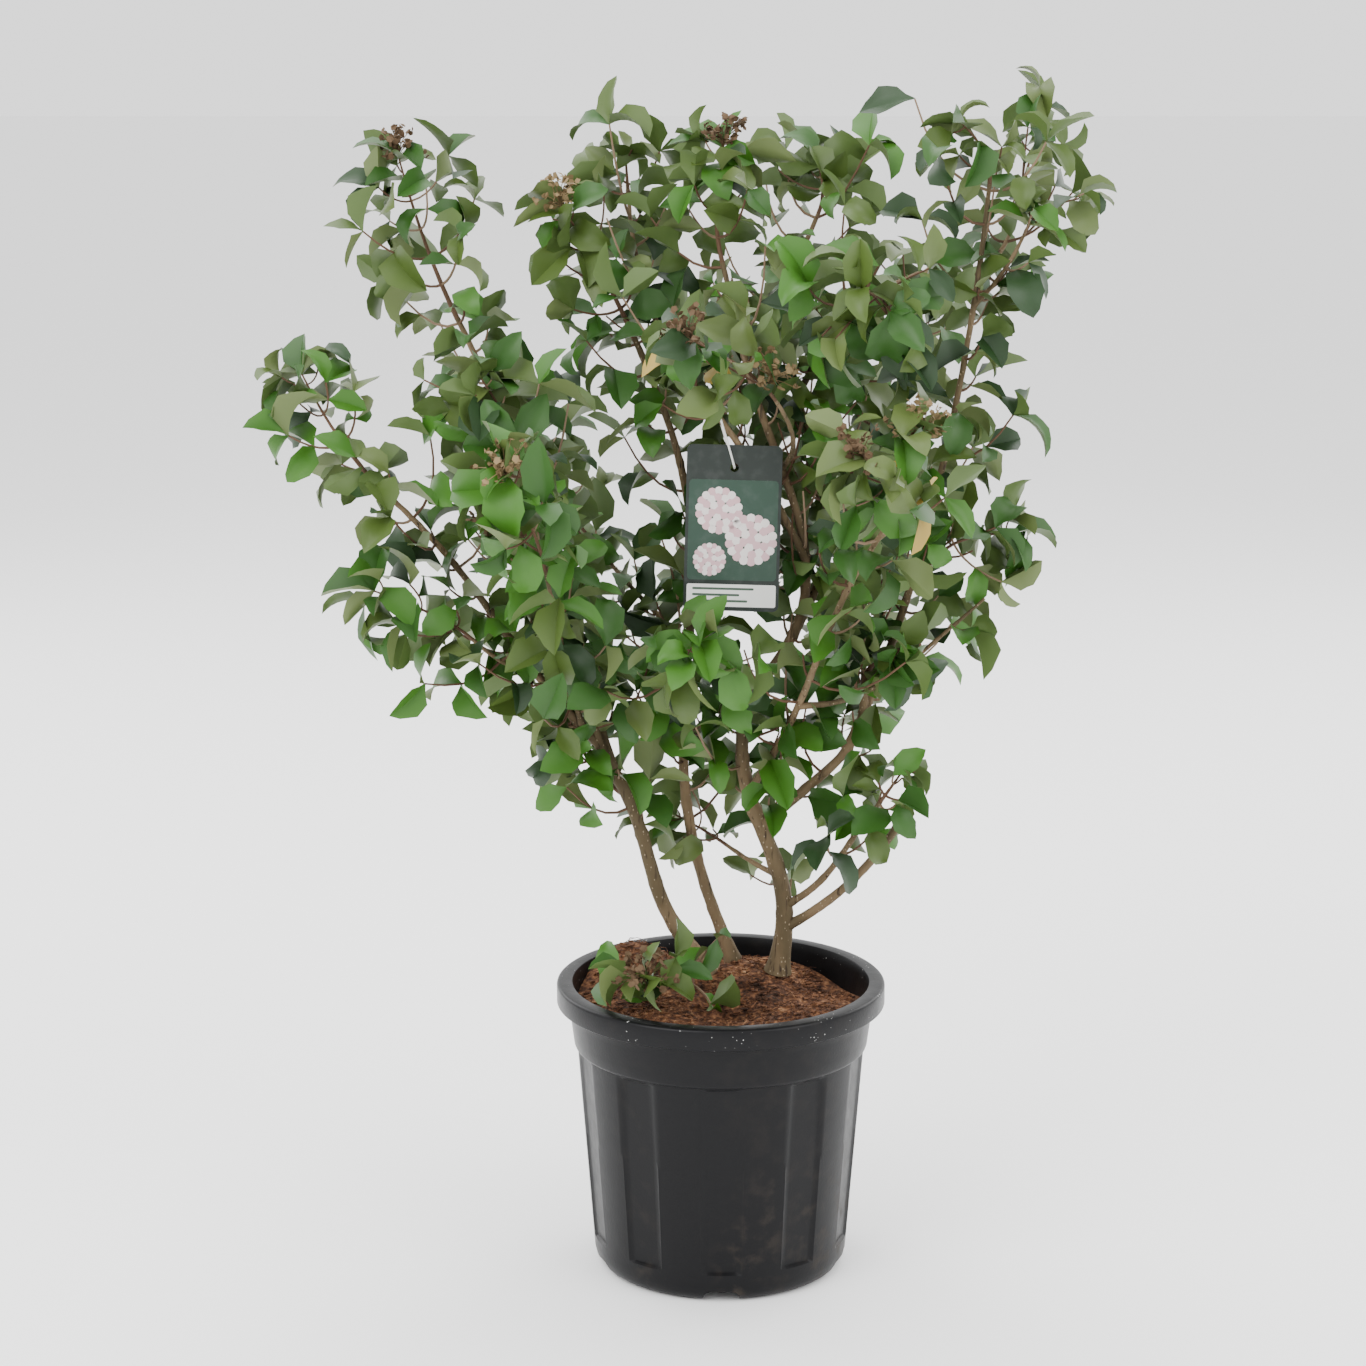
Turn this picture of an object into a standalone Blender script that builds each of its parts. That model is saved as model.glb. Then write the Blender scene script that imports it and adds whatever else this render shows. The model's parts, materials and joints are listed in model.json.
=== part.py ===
"""A fragrant snowball shrub growing in a black nursery pot.

Units are metres, +Z is up and the shrub's front faces -Y. The origin is the
centre of the pot's flat underside. Every limb is a tapering tube that springs
from its parent limb, and every mass of foliage grows from a limb by one seeded
rule, inside its own ellipsoid and on its own side of its neighbours.
"""

import math
import random
from typing import NamedTuple

import bmesh
import bpy
from mathutils import Matrix, Vector
from mathutils.bvhtree import BVHTree

CLEARANCE = 0.0003
WELD = 0.00001
UP = Vector((0.0, 0.0, 1.0))

# Pot
POT_HEIGHT = 0.295
RIM_RADIUS = 0.165
RIM_DROP = 0.022
RIM_EDGE = 0.003
MOUTH_RADIUS = 0.149
COLLAR_TOP_RADIUS = 0.153
COLLAR_FOOT = (0.1475, 0.231)
WALL_TOP = (0.1445, 0.2285)
WALL_FOOT = (0.1285, 0.022)
FOOT_ROUNDING = ((0.1265, 0.010), (0.1215, 0.003))
UNDERSIDE_RADIUS = 0.1135
WALL_THICKNESS = 0.006
FLOOR_THICKNESS = 0.016
POT_FACETS = 40
FLUTE_COUNT = 10
FLUTE_WIDTH = 0.0405
FLUTE_SINK = 0.0036
FLUTE_FOOT_HEIGHT = 0.030
FLUTE_DEPTH = 0.020
NOTCH_COUNT = 5
NOTCH_WIDTH = 0.036
NOTCH_HEIGHT = 0.012
NOTCH_REACH = 0.030
NOTCH_CORNER = 0.008

# Soil: mounds and hollows are (x, y, height, spread)
SOIL_LEVEL = 0.274
SOIL_FACETS = 28
SOIL_RINGS = (0.3, 0.6, 0.85)
SOIL_GAP = 0.0006
SOIL_MOUNDS = (
    (-0.090, 0.080, 0.034, 0.045),
    (0.030, 0.070, 0.014, 0.050),
    (0.000, -0.040, -0.018, 0.030),
    (0.120, 0.060, -0.012, 0.050),
    (-0.060, -0.090, 0.012, 0.050),
)

# Limbs
LIMB_SIDES = 6
LIMB_STEP = 0.070
FORK_GAP = 0.0005
FLARE_HEIGHTS = (0.008, 0.022, 0.045)
FLARE_LENGTH = 0.018
FLARE_GIRTH = 0.6

# Foliage
TWIG_SIDES = 3
TWIG_TIP_RADIUS = 0.0016
SHOOT_RADIUS = 0.0021
STEM_POINTS = 4
STEM_LEAD = 0.004
SHOOT_POINTS = 3
STEM_BARE = 0.25
SHOOT_TILT = math.radians(58.0)
SHORTEST_SHOOT = 0.012
LEAF_NODES = ((0.55, (-1.0, 1.0)), (1.0, (0.0,)))
LEAF_THICKNESS = 0.0010
LEAF_WIDTH = 0.60
LEAF_WIDEST = 0.42
LEAF_FOLD = 0.12
PAIR_STAGGER = 0.0022
SMALLEST_LEAF = 0.6
SPACE_MARGIN = 0.0005
LIMB_MARGIN = 0.0010

# Label
LABEL_WIDTH = 0.093
LABEL_HEIGHT = 0.162
LABEL_THICKNESS = 0.0014
LABEL_CORNER = 0.006
LABEL_HOLE_RADIUS = 0.0042
LABEL_HOLE_DROP = 0.022
LABEL_LEAN = math.radians(5.0)
LABEL_ROLL = math.radians(-1.5)
LABEL_HANG = 0.37
LABEL_OFFSET = Vector((0.013, -0.010, -0.043))
STRAP_RADIUS = 0.0011
STRAP_OVER = 0.021
STRAP_ROOM = 0.0115
STRAP_POINTS = 16
STRAP_SIDES = 4


class Limb(NamedTuple):
    """One limb: where it springs from, its tip, its two bends and its girth.

    A trunk's foot is its place on the soil. Any other limb's foot is a
    fraction of its parent's length. The bow is how far the middle stands off
    the straight line, the sway how far the quarters do, to opposite sides.
    """

    name: str
    parent: str
    foot: object
    tip: tuple
    bow: tuple
    sway: tuple
    girth: tuple


class Mass(NamedTuple):
    """One mass of foliage: its limb, its space, its shoots and its leaf length."""

    name: str
    limb: str
    centre: tuple
    radii: tuple
    shoots: int
    leaf: float = 0.056
    at: float = 1.0
    seed: int = 1


class Path(NamedTuple):
    """The centre line of a limb or twig, with its radius at each point."""

    points: list
    radii: list


LIMBS = (
    Limb("trunk_right", "", (0.059, 0.06), (0.024, 0.035, 0.575), (0.003, 0, 0.003), (0.012, 0, 0.003), (9.2, 6.2)),
    Limb("trunk_left", "", (-0.01, 0.064), (-0.121, 0.02, 0.532), (-0.006, 0, -0.004), (-0.008, 0, 0), (8, 5.6)),
    Limb("trunk_mid", "", (0.014, 0.092), (-0.086, 0.06, 0.934), (0.003, 0, 0.002), (-0.024, 0, -0.005), (6.2, 3)),
    Limb("centre", "trunk_right", 1.0, (0, 0.02, 1.011), (0.056, 0, -0.009), (0.021, 0, -0.005), (5.6, 2.5)),
    Limb("far_left", "trunk_left", 1.0, (-0.324, -0.042, 0.796), (0, 0, 0.004), (-0.003, 0, -0.003), (5, 2.5)),
    Limb("upper_left", "trunk_left", 0.88, (-0.261, 0.08, 0.951), (0.009, 0, 0.003), (-0.004, 0, 0), (4.5, 2.8)),
    Limb("left_mid", "trunk_left", 0.96, (-0.192, -0.06, 0.816), (-0.01, 0, -0.002), (0.004, 0, 0), (3.6, 2.2)),
    Limb("left_front", "far_left", 0.08, (-0.165, -0.18, 0.745), (0, 0.01, -0.01), (0, 0, 0), (3.2, 2)),
    Limb("left_low", "far_left", 0.29, (-0.24, -0.08, 0.66), (0, 0, -0.006), (0, 0, 0), (2.6, 1.8)),
    Limb("centre_top", "centre", 0.35, (-0.093, 0.14, 1.073), (-0.019, -0.07, -0.008), (0.01, 0, 0.006), (4, 2)),
    Limb("centre_right", "centre", 0.17, (0.098, 0.16, 1.048), (0.003, 0, -0.007), (0.027, 0, -0.004), (4.6, 2.2)),
    Limb("right_front", "centre_right", 0.57, (0.127, -0.09, 0.985), (0, 0, 0.006), (0, 0, 0), (3.8, 2.4)),
    Limb("right_back", "centre_right", 0.18, (0.168, 0.15, 0.87), (0, 0.012, 0), (0, 0, 0), (3.2, 2.2)),
    Limb("right_fork", "trunk_right", 0.54, (0.141, 0, 0.593), (0.018, 0, -0.009), (-0.005, 0, 0.002), (5.6, 4)),
    Limb("right_top", "right_fork", 0.64, (0.25, -0.05, 1.09), (0.021, 0, -0.012), (0, 0, -0.005), (4.6, 2.2)),
    Limb("right_peak", "right_top", 0.85, (0.287, 0.045, 1.063), (0.006, 0, -0.004), (0, 0, 0), (2.6, 1.8)),
    Limb("right_tip", "right_top", 0.8, (0.285, -0.045, 1.045), (0.004, 0, -0.002), (0, 0, 0), (2.3, 1.7)),
    Limb("right_long", "trunk_right", 0.67, (0.157, -0.17, 0.795), (0, 0.003, 0.002), (0.005, 0, -0.002), (4, 2.4)),
    Limb("right_bare", "right_long", 0.33, (0.253, -0.05, 0.694), (0.009, 0, -0.018), (0.001, 0, -0.005), (3.2, 1.5)),
    Limb("right_mid_back", "right_fork", 0.87, (0.145, 0.175, 0.69), (0.003, 0.008, -0.006), (0, 0, 0), (3.4, 2.2)),
    Limb("right_sprigs", "right_top", 0.34, (0.212, -0.03, 0.735), (0, 0, -0.003), (0, 0, 0), (2.5, 1.8)),
    Limb("stub", "trunk_right", 0.16, (0.178, 0, 0.458), (0.008, 0, -0.008), (0, 0, 0), (5, 4)),
    Limb("low_right", "trunk_right", 0.24, (0.157, -0.02, 0.484), (0.006, 0, -0.006), (0.002, 0, -0.002), (4, 2.2)),
    Limb("inner_low", "trunk_right", 0.35, (0.007, 0.09, 0.41), (0, 0, -0.002), (0, 0, 0), (3, 2)),
    Limb("centre_low", "trunk_mid", 0.39, (-0.049, -0.06, 0.62), (0, 0, -0.006), (0, 0, 0), (2.8, 2)),
    Limb("back_left", "trunk_mid", 0.52, (-0.133, 0.19, 0.71), (0, 0.006, -0.006), (0, 0, 0), (3.2, 2)),
    Limb("back_centre", "centre", 0.26, (0.009, 0.22, 0.83), (0.011, 0.01, -0.004), (0.004, 0, 0), (3.4, 2)),
    Limb("centre_front", "centre", 0.55, (0.048, -0.12, 0.895), (0.014, 0, -0.006), (0, 0, 0), (2.8, 1.8)),
)

MASSES = (
    Mass("leaves_far_left", "far_left", (-0.38, -0.03, 0.875), (0.078, 0.08, 0.09), 6),
    Mass("leaves_left_low", "left_low", (-0.31, -0.1, 0.7), (0.072, 0.07, 0.062), 4),
    Mass("leaves_left_front", "left_front", (-0.185, -0.235, 0.815), (0.078, 0.085, 0.08), 6),
    Mass("leaves_upper_left", "upper_left", (-0.295, 0.09, 1.045), (0.097, 0.09, 0.112), 7),
    Mass("leaves_left_mid", "left_mid", (-0.22, -0.06, 0.885), (0.116, 0.078, 0.066), 6),
    Mass("leaves_centre_left", "trunk_mid", (-0.135, 0.05, 1.025), (0.072, 0.085, 0.09), 6),
    Mass("leaves_centre_top", "centre_top", (-0.095, 0.15, 1.1), (0.04, 0.055, 0.042), 2, 0.044),
    Mass("leaves_crown", "centre", (0.000, 0.02, 1.06), (0.077, 0.09, 0.105), 6),
    Mass("leaves_centre_front", "centre_front", (-0.01, -0.195, 0.945), (0.078, 0.08, 0.066), 6),
    Mass("leaves_centre_right", "centre_right", (0.097, 0.175, 1.095), (0.076, 0.08, 0.05), 5),
    Mass("leaves_right_front", "right_front", (0.14, -0.15, 0.985), (0.082, 0.09, 0.105), 7),
    Mass("leaves_right_back", "right_back", (0.2, 0.195, 0.945), (0.115, 0.1, 0.105), 8),
    Mass("leaves_right_top", "right_top", (0.23, -0.06, 1.13), (0.048, 0.06, 0.06), 3, 0.046),
    Mass("leaves_right_peak", "right_peak", (0.31, 0.08, 1.13), (0.052, 0.06, 0.076), 4, 0.046),
    Mass("leaves_right_tip", "right_tip", (0.325, -0.045, 1.07), (0.052, 0.055, 0.042), 2, 0.046),
    Mass("leaves_right_mid_front", "right_long", (0.14, -0.21, 0.83), (0.082, 0.09, 0.095), 7),
    Mass("leaves_right_mid_back", "right_mid_back", (0.155, 0.235, 0.725), (0.095, 0.09, 0.1), 7),
    Mass("leaves_right_sprigs", "right_sprigs", (0.265, -0.03, 0.75), (0.06, 0.06, 0.07), 4),
    Mass("leaves_right_low", "right_fork", (0.172, -0.05, 0.64), (0.052, 0.058, 0.056), 4),
    Mass("leaves_low_right", "low_right", (0.175, -0.02, 0.51), (0.042, 0.05, 0.044), 3, 0.044),
    Mass("leaves_centre_low", "centre_low", (-0.03, -0.14, 0.66), (0.097, 0.085, 0.066), 6),
    Mass("leaves_left_droop", "trunk_left", (-0.16, 0.08, 0.55), (0.067, 0.075, 0.085), 5, 0.056, 0.78),
    Mass("leaves_inner_low", "inner_low", (-0.03, 0.1, 0.43), (0.052, 0.06, 0.066), 4, 0.046),
    Mass("leaves_base_sprig", "trunk_left", (-0.06, -0.06, 0.32), (0.1, 0.08, 0.055), 5, 0.05, 0.08),
    Mass("leaves_back_left", "back_left", (-0.18, 0.26, 0.775), (0.078, 0.09, 0.09), 6),
    Mass("leaves_back_centre", "back_centre", (-0.005, 0.28, 0.905), (0.082, 0.09, 0.09), 6),
)


def principled(name, colour, roughness, metallic=0.0):
    """Return a material with one colour, roughness and metallic value."""
    material = bpy.data.materials.new(name)
    material.use_nodes = True
    shader = material.node_tree.nodes["Principled BSDF"]
    shader.inputs["Base Color"].default_value = (*colour, 1.0)
    shader.inputs["Roughness"].default_value = roughness
    shader.inputs["Metallic"].default_value = metallic
    material.diffuse_color = (*colour, 1.0)
    return material


def clear_scene():
    """Remove the objects that the scene starts with."""
    for obj in list(bpy.data.objects):
        bpy.data.objects.remove(obj, do_unlink=True)


def make_collection(name):
    """Return a new collection that is linked to the scene."""
    collection = bpy.data.collections.new(name)
    bpy.context.scene.collection.children.link(collection)
    return collection


def add_object(name, data, collection, material=None):
    """Link a new object to a collection, in one material."""
    obj = bpy.data.objects.new(name, data)
    collection.objects.link(obj)
    if material is not None:
        obj.data.materials.append(material)
    return obj


def face_out(bm):
    """Turn every face of a closed body outwards."""
    bmesh.ops.recalc_face_normals(bm, faces=bm.faces)
    if bm.calc_volume(signed=True) < 0.0:
        bmesh.ops.reverse_faces(bm, faces=bm.faces)


def mesh_from(bm, name):
    """Write a bmesh into a new mesh and free it."""
    mesh = bpy.data.meshes.new(name)
    bm.to_mesh(mesh)
    bm.free()
    return mesh


def bake_modifiers(obj):
    """Replace an object's mesh by the one its modifiers make."""
    evaluated = obj.evaluated_get(bpy.context.evaluated_depsgraph_get())
    mesh = bpy.data.meshes.new_from_object(evaluated)
    obj.modifiers.clear()
    obj.data = mesh


def discard(obj):
    """Remove an object and what it shows."""
    data = obj.data
    bpy.data.objects.remove(obj, do_unlink=True)
    if isinstance(data, bpy.types.Mesh):
        bpy.data.meshes.remove(data)
    else:
        bpy.data.curves.remove(data)


def keep_main_shell(mesh):
    """Drop loose scraps and sealed hollows, keeping the largest shell."""
    bm = bmesh.new()
    bm.from_mesh(mesh)
    unseen = set(bm.faces)
    shells = []
    while unseen:
        shell = set()
        front = [unseen.pop()]
        while front:
            face = front.pop()
            shell.add(face)
            for edge in face.edges:
                for other in edge.link_faces:
                    if other in unseen:
                        unseen.remove(other)
                        front.append(other)
        shells.append(shell)
    main = max(shells, key=len)
    scraps = [face for shell in shells if shell is not main for face in shell]
    bmesh.ops.delete(bm, geom=scraps, context="FACES")
    bm.to_mesh(mesh)
    bm.free()


def turned(name, outline, facets, collection, material):
    """Turn an outline of (radius, height) points about the Z axis."""
    bm = bmesh.new()
    corners = [bm.verts.new((radius, 0.0, height)) for radius, height in outline]
    for start, end in zip(corners, corners[1:]):
        bm.edges.new((start, end))
    obj = add_object(name, mesh_from(bm, name), collection, material)
    screw = obj.modifiers.new("turn", "SCREW")
    screw.axis = "Z"
    screw.steps = facets
    screw.render_steps = facets
    screw.use_merge_vertices = True
    screw.merge_threshold = WELD
    return obj


def inner_radius(height):
    """Return the radius of the pot's inner wall at a height."""
    kink_radius = WALL_TOP[0] - WALL_THICKNESS
    if height >= WALL_TOP[1]:
        share = (height - WALL_TOP[1]) / (POT_HEIGHT - WALL_TOP[1])
        return kink_radius + (MOUTH_RADIUS - kink_radius) * share
    floor_radius = WALL_FOOT[0] - WALL_THICKNESS
    share = (height - FLOOR_THICKNESS) / (WALL_TOP[1] - FLOOR_THICKNESS)
    return floor_radius + (kink_radius - floor_radius) * share


def flute_cutters(collection):
    """Make the upright boxes that press the flutes into the pot's wall."""
    lean = math.atan2(WALL_TOP[0] - WALL_FOOT[0], WALL_TOP[1] - WALL_FOOT[1])
    height = WALL_TOP[1] - FLUTE_FOOT_HEIGHT
    middle = (WALL_TOP[1] + FLUTE_FOOT_HEIGHT) / 2
    share = (middle - WALL_FOOT[1]) / (WALL_TOP[1] - WALL_FOOT[1])
    wall = WALL_FOOT[0] + (WALL_TOP[0] - WALL_FOOT[0]) * share
    bm = bmesh.new()
    for index in range(FLUTE_COUNT):
        turn = Matrix.Rotation(math.tau * index / FLUTE_COUNT, 4, "Z")
        place = Matrix.Translation((0.0, -(wall - FLUTE_SINK + FLUTE_DEPTH / 2), middle))
        size = Matrix.Diagonal((FLUTE_WIDTH, FLUTE_DEPTH, height, 1.0))
        bmesh.ops.create_cube(bm, size=1.0, matrix=turn @ place @ Matrix.Rotation(lean, 4, "X") @ size)
    return add_object("flute_cutter", mesh_from(bm, "flute_cutter"), collection)


def notch_cutters(collection):
    """Make the blocks that open the drainage notches in the pot's foot."""
    bm = bmesh.new()
    for index in range(NOTCH_COUNT):
        turn = Matrix.Rotation(math.tau * index / NOTCH_COUNT, 4, "Z")
        place = Matrix.Translation((0.0, -WALL_FOOT[0], 0.0))
        size = Matrix.Diagonal((NOTCH_WIDTH, 2 * NOTCH_REACH, 2 * NOTCH_HEIGHT, 1.0))
        bmesh.ops.create_cube(bm, size=1.0, matrix=turn @ place @ size)
    ridges = [edge for edge in bm.edges if edge.calc_length() > 2 * NOTCH_REACH - WELD]
    bmesh.ops.bevel(bm, geom=ridges, offset=NOTCH_CORNER, segments=2, profile=0.5, affect="EDGES", material=-1)
    return add_object("notch_cutter", mesh_from(bm, "notch_cutter"), collection)


def build_pot(collection, cutters, material):
    """Turn the pot, then cut its flutes and its drainage notches."""
    rim_foot = POT_HEIGHT - RIM_DROP
    outline = (
        (0.0, FLOOR_THICKNESS),
        (inner_radius(FLOOR_THICKNESS), FLOOR_THICKNESS),
        (inner_radius(WALL_TOP[1]), WALL_TOP[1]),
        (MOUTH_RADIUS, POT_HEIGHT),
        (RIM_RADIUS - RIM_EDGE, POT_HEIGHT),
        (RIM_RADIUS, POT_HEIGHT - RIM_EDGE),
        (RIM_RADIUS, rim_foot),
        (COLLAR_TOP_RADIUS, rim_foot - RIM_EDGE / 2),
        COLLAR_FOOT,
        WALL_TOP,
        WALL_FOOT,
        *FOOT_ROUNDING,
        (UNDERSIDE_RADIUS, 0.0),
        (0.0, 0.0),
    )
    pot = turned("pot", outline, POT_FACETS, collection, material)
    for cutter in (flute_cutters(cutters), notch_cutters(cutters)):
        cutter.hide_render = True
        cutter.display_type = "WIRE"
        cut = pot.modifiers.new(cutter.name, "BOOLEAN")
        cut.operation = "DIFFERENCE"
        cut.object = cutter
    return pot


def soil_height(x, y):
    """Return the height of the soil at a place in the pot."""
    height = SOIL_LEVEL
    for mound_x, mound_y, rise, spread in SOIL_MOUNDS:
        square = (x - mound_x) ** 2 + (y - mound_y) ** 2
        height += rise * math.exp(-square / spread ** 2)
    return height


def build_soil(collection, material):
    """Turn the body of soil that fills the pot and heap its top."""
    floor = FLOOR_THICKNESS + SOIL_GAP
    edge = inner_radius(SOIL_LEVEL) - SOIL_GAP
    outline = [(0.0, SOIL_LEVEL)]
    outline += [(edge * ring, SOIL_LEVEL) for ring in SOIL_RINGS]
    outline += [(edge, SOIL_LEVEL)]
    outline += [(inner_radius(height) - SOIL_GAP, height) for height in (WALL_TOP[1], floor)]
    outline += [(0.0, floor)]
    soil = turned("soil", outline, SOIL_FACETS, collection, material)
    bake_modifiers(soil)
    for vertex in soil.data.vertices:
        if vertex.co.z > WALL_TOP[1] + WELD:
            across = math.hypot(vertex.co.x, vertex.co.y)
            vertex.co.z = soil_height(vertex.co.x, vertex.co.y)
            if across > edge - WELD:
                reach = (inner_radius(min(vertex.co.z, POT_HEIGHT)) - SOIL_GAP) / across
                vertex.co.x *= reach
                vertex.co.y *= reach
    return soil


def ring_profile(sides):
    """Return the unit polygon that a limb or twig is swept from."""
    name = f"ring_{sides}"
    if name in bpy.data.objects:
        return bpy.data.objects[name]
    curve = bpy.data.curves.new(name, "CURVE")
    curve.dimensions = "2D"
    spline = curve.splines.new("POLY")
    spline.points.add(sides - 1)
    for index, point in enumerate(spline.points):
        angle = math.tau * index / sides
        point.co = (math.cos(angle), math.sin(angle), 0.0, 1.0)
    spline.use_cyclic_u = True
    ring = add_object(name, curve, bpy.context.scene.collection)
    ring.hide_render = True
    return ring


def swollen(path, swell):
    """Return a path made thicker and longer all round by a margin."""
    points = list(path.points)
    points[0] = points[0] + (points[0] - points[1]).normalized() * swell
    points[-1] = points[-1] + (points[-1] - points[-2]).normalized() * swell
    return Path(points, [radius + swell for radius in path.radii])


def tube(name, path, sides, collection, material=None, closed=False):
    """Sweep a closed tapering tube along a path, as a mesh object."""
    curve = bpy.data.curves.new(name, "CURVE")
    curve.dimensions = "3D"
    curve.bevel_mode = "OBJECT"
    curve.bevel_object = ring_profile(sides)
    curve.use_fill_caps = True
    spline = curve.splines.new("POLY")
    spline.points.add(len(path.points) - 1)
    for point, place, radius in zip(spline.points, path.points, path.radii):
        point.co = (*place, 1.0)
        point.radius = radius
    spline.use_cyclic_u = closed
    guide = add_object(name, curve, collection)
    evaluated = guide.evaluated_get(bpy.context.evaluated_depsgraph_get())
    mesh = bpy.data.meshes.new_from_object(evaluated)
    discard(guide)
    bm = bmesh.new()
    bm.from_mesh(mesh)
    bmesh.ops.remove_doubles(bm, verts=bm.verts, dist=WELD)
    face_out(bm)
    bmesh.ops.triangulate(bm, faces=bm.faces)
    bm.to_mesh(mesh)
    bm.free()
    mesh.materials.clear()
    obj = add_object(name, mesh, collection, material)
    return obj


def along_path(path, share):
    """Return the place, the direction and the radius at a share of a path."""
    spans = [(end - start).length for start, end in zip(path.points, path.points[1:])]
    left = share * sum(spans)
    for index, span in enumerate(spans):
        if left <= span or index == len(spans) - 1:
            break
        left -= span
    start, end = path.points[index], path.points[index + 1]
    blend = min(left / spans[index], 1.0)
    radius = path.radii[index] + (path.radii[index + 1] - path.radii[index]) * blend
    return start.lerp(end, blend), (end - start).normalized(), radius


def limb_path(limb, paths, soil_tree):
    """Work out a limb's centre line from its foot, its tip and its bends."""
    tip, bow, sway = Vector(limb.tip), Vector(limb.bow), Vector(limb.sway)
    foot_radius, tip_radius = (girth / 1000 for girth in limb.girth)
    if limb.parent:
        foot, heading, _ = along_path(paths[limb.parent], limb.foot)
        if limb.foot == 1.0:
            foot = foot + heading * CLEARANCE
    else:
        foot = Vector((*limb.foot, ground_under(limb.foot, foot_radius * (1 + FLARE_GIRTH), soil_tree)))
    count = max(3, round((tip - foot).length / LIMB_STEP))
    shares = [index / count for index in range(count + 1)]
    points = [
        foot.lerp(tip, share) + bow * 4 * share * (1 - share) + sway * math.sin(math.tau * share)
        for share in shares
    ]
    radii = [foot_radius + (tip_radius - foot_radius) * share for share in shares]
    if limb.parent:
        return Path(points, radii)
    flare = [foot_radius * (1 + FLARE_GIRTH * math.exp(-rise / FLARE_LENGTH)) for rise in (0.0, *FLARE_HEIGHTS)]
    lower = [foot, foot + UP * FLARE_HEIGHTS[0]]
    rest = [points[0].lerp(points[1], rise / (points[1] - points[0]).length) for rise in FLARE_HEIGHTS[1:]]
    return Path(lower + rest + points[1:], flare + radii[1:])


def ground_under(place, radius, soil_tree):
    """Return the height at which a flat-footed trunk clears the soil."""
    highest = 0.0
    for step in range(LIMB_SIDES * 4):
        angle = math.tau * step / (LIMB_SIDES * 4)
        for share in (0.0, 0.5, 1.0):
            x = place[0] + radius * share * math.cos(angle)
            y = place[1] + radius * share * math.sin(angle)
            hit = soil_tree.ray_cast(Vector((x, y, 1.0)), -UP)
            highest = max(highest, hit[0].z)
    return highest + CLEARANCE


def tree_of(mesh, margin=0.0):
    """Return the search tree of a mesh grown outwards by a margin."""
    bm = bmesh.new()
    bm.from_mesh(mesh)
    bmesh.ops.triangulate(bm, faces=bm.faces)
    bm.normal_update()
    for vertex, normal in [(vertex, vertex.normal.copy()) for vertex in bm.verts]:
        vertex.co += normal * margin
    tree = BVHTree.FromBMesh(bm)
    bm.free()
    return tree


def build_limbs(collection, material, soil_tree):
    """Grow each limb and cut its foot to fit the limbs made before it."""
    paths = {}
    built = []
    for limb in LIMBS:
        path = limb_path(limb, paths, soil_tree)
        obj = tube(limb.name, path, LIMB_SIDES, collection, material)
        for other, other_tree in built:
            if not tree_of(obj.data).overlap(other_tree):
                continue
            cutter = tube("fork_cutter", swollen(paths[other], FORK_GAP), LIMB_SIDES, collection)
            cut = obj.modifiers.new("fork", "BOOLEAN")
            cut.operation = "DIFFERENCE"
            cut.object = cutter
            bake_modifiers(obj)
            discard(cutter)
            keep_main_shell(obj.data)
        paths[limb.name] = path
        built.append((limb.name, tree_of(obj.data, CLEARANCE)))
    return paths


def build_label(collection, materials, paths):
    """Hang the label from its limb by a closed strap through its hole."""
    hang, _, _ = along_path(paths["centre_top"], LABEL_HANG)
    hole = hang + LABEL_OFFSET
    curve = bpy.data.curves.new("label", "CURVE")
    curve.dimensions = "2D"
    curve.fill_mode = "BOTH"
    curve.extrude = LABEL_THICKNESS / 2
    inset_x, inset_y = LABEL_WIDTH / 2 - LABEL_CORNER, LABEL_HEIGHT / 2 - LABEL_CORNER
    outline = []
    for quarter, (side, end) in enumerate(((1, 1), (-1, 1), (-1, -1), (1, -1))):
        for step in range(4):
            angle = math.pi / 2 * (quarter + step / 3)
            outline.append((
                side * inset_x + LABEL_CORNER * math.cos(angle),
                end * inset_y + LABEL_CORNER * math.sin(angle) - LABEL_HEIGHT / 2 + LABEL_HOLE_DROP,
            ))
    ring = [
        (LABEL_HOLE_RADIUS * math.cos(math.tau * step / 12), LABEL_HOLE_RADIUS * math.sin(math.tau * step / 12))
        for step in range(12)
    ]
    for loop in (outline, ring):
        spline = curve.splines.new("POLY")
        spline.points.add(len(loop) - 1)
        for point, (x, y) in zip(spline.points, loop):
            point.co = (x, y, 0.0, 1.0)
        spline.use_cyclic_u = True
    guide = add_object("label", curve, collection)
    mesh = bpy.data.meshes.new_from_object(guide.evaluated_get(bpy.context.evaluated_depsgraph_get()))
    discard(guide)
    bm = bmesh.new()
    bm.from_mesh(mesh)
    bmesh.ops.remove_doubles(bm, verts=bm.verts, dist=WELD)
    face_out(bm)
    upright = Matrix.Rotation(math.pi / 2 - LABEL_LEAN, 4, "X") @ Matrix.Rotation(LABEL_ROLL, 4, "Z")
    bm.transform(Matrix.Translation(hole) @ upright)
    bm.to_mesh(mesh)
    bm.free()
    mesh.materials.clear()
    label = add_object("label", mesh, collection, materials["label"])

    down = (hole - hang).normalized()
    top = hang - down * STRAP_OVER
    across = down.cross(Vector((1.0, 0.0, 0.0))).normalized()
    middle, reach = (top + hole) / 2, (hole - top).length / 2
    loop = [
        middle + down * reach * math.cos(math.tau * step / STRAP_POINTS)
        + across * STRAP_ROOM * math.sin(math.tau * step / STRAP_POINTS)
        for step in range(STRAP_POINTS)
    ]
    strap_path = Path(loop, [STRAP_RADIUS] * STRAP_POINTS)
    strap = tube("label_strap", strap_path, STRAP_SIDES, collection, materials["strap"], closed=True)
    return label, strap


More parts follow.
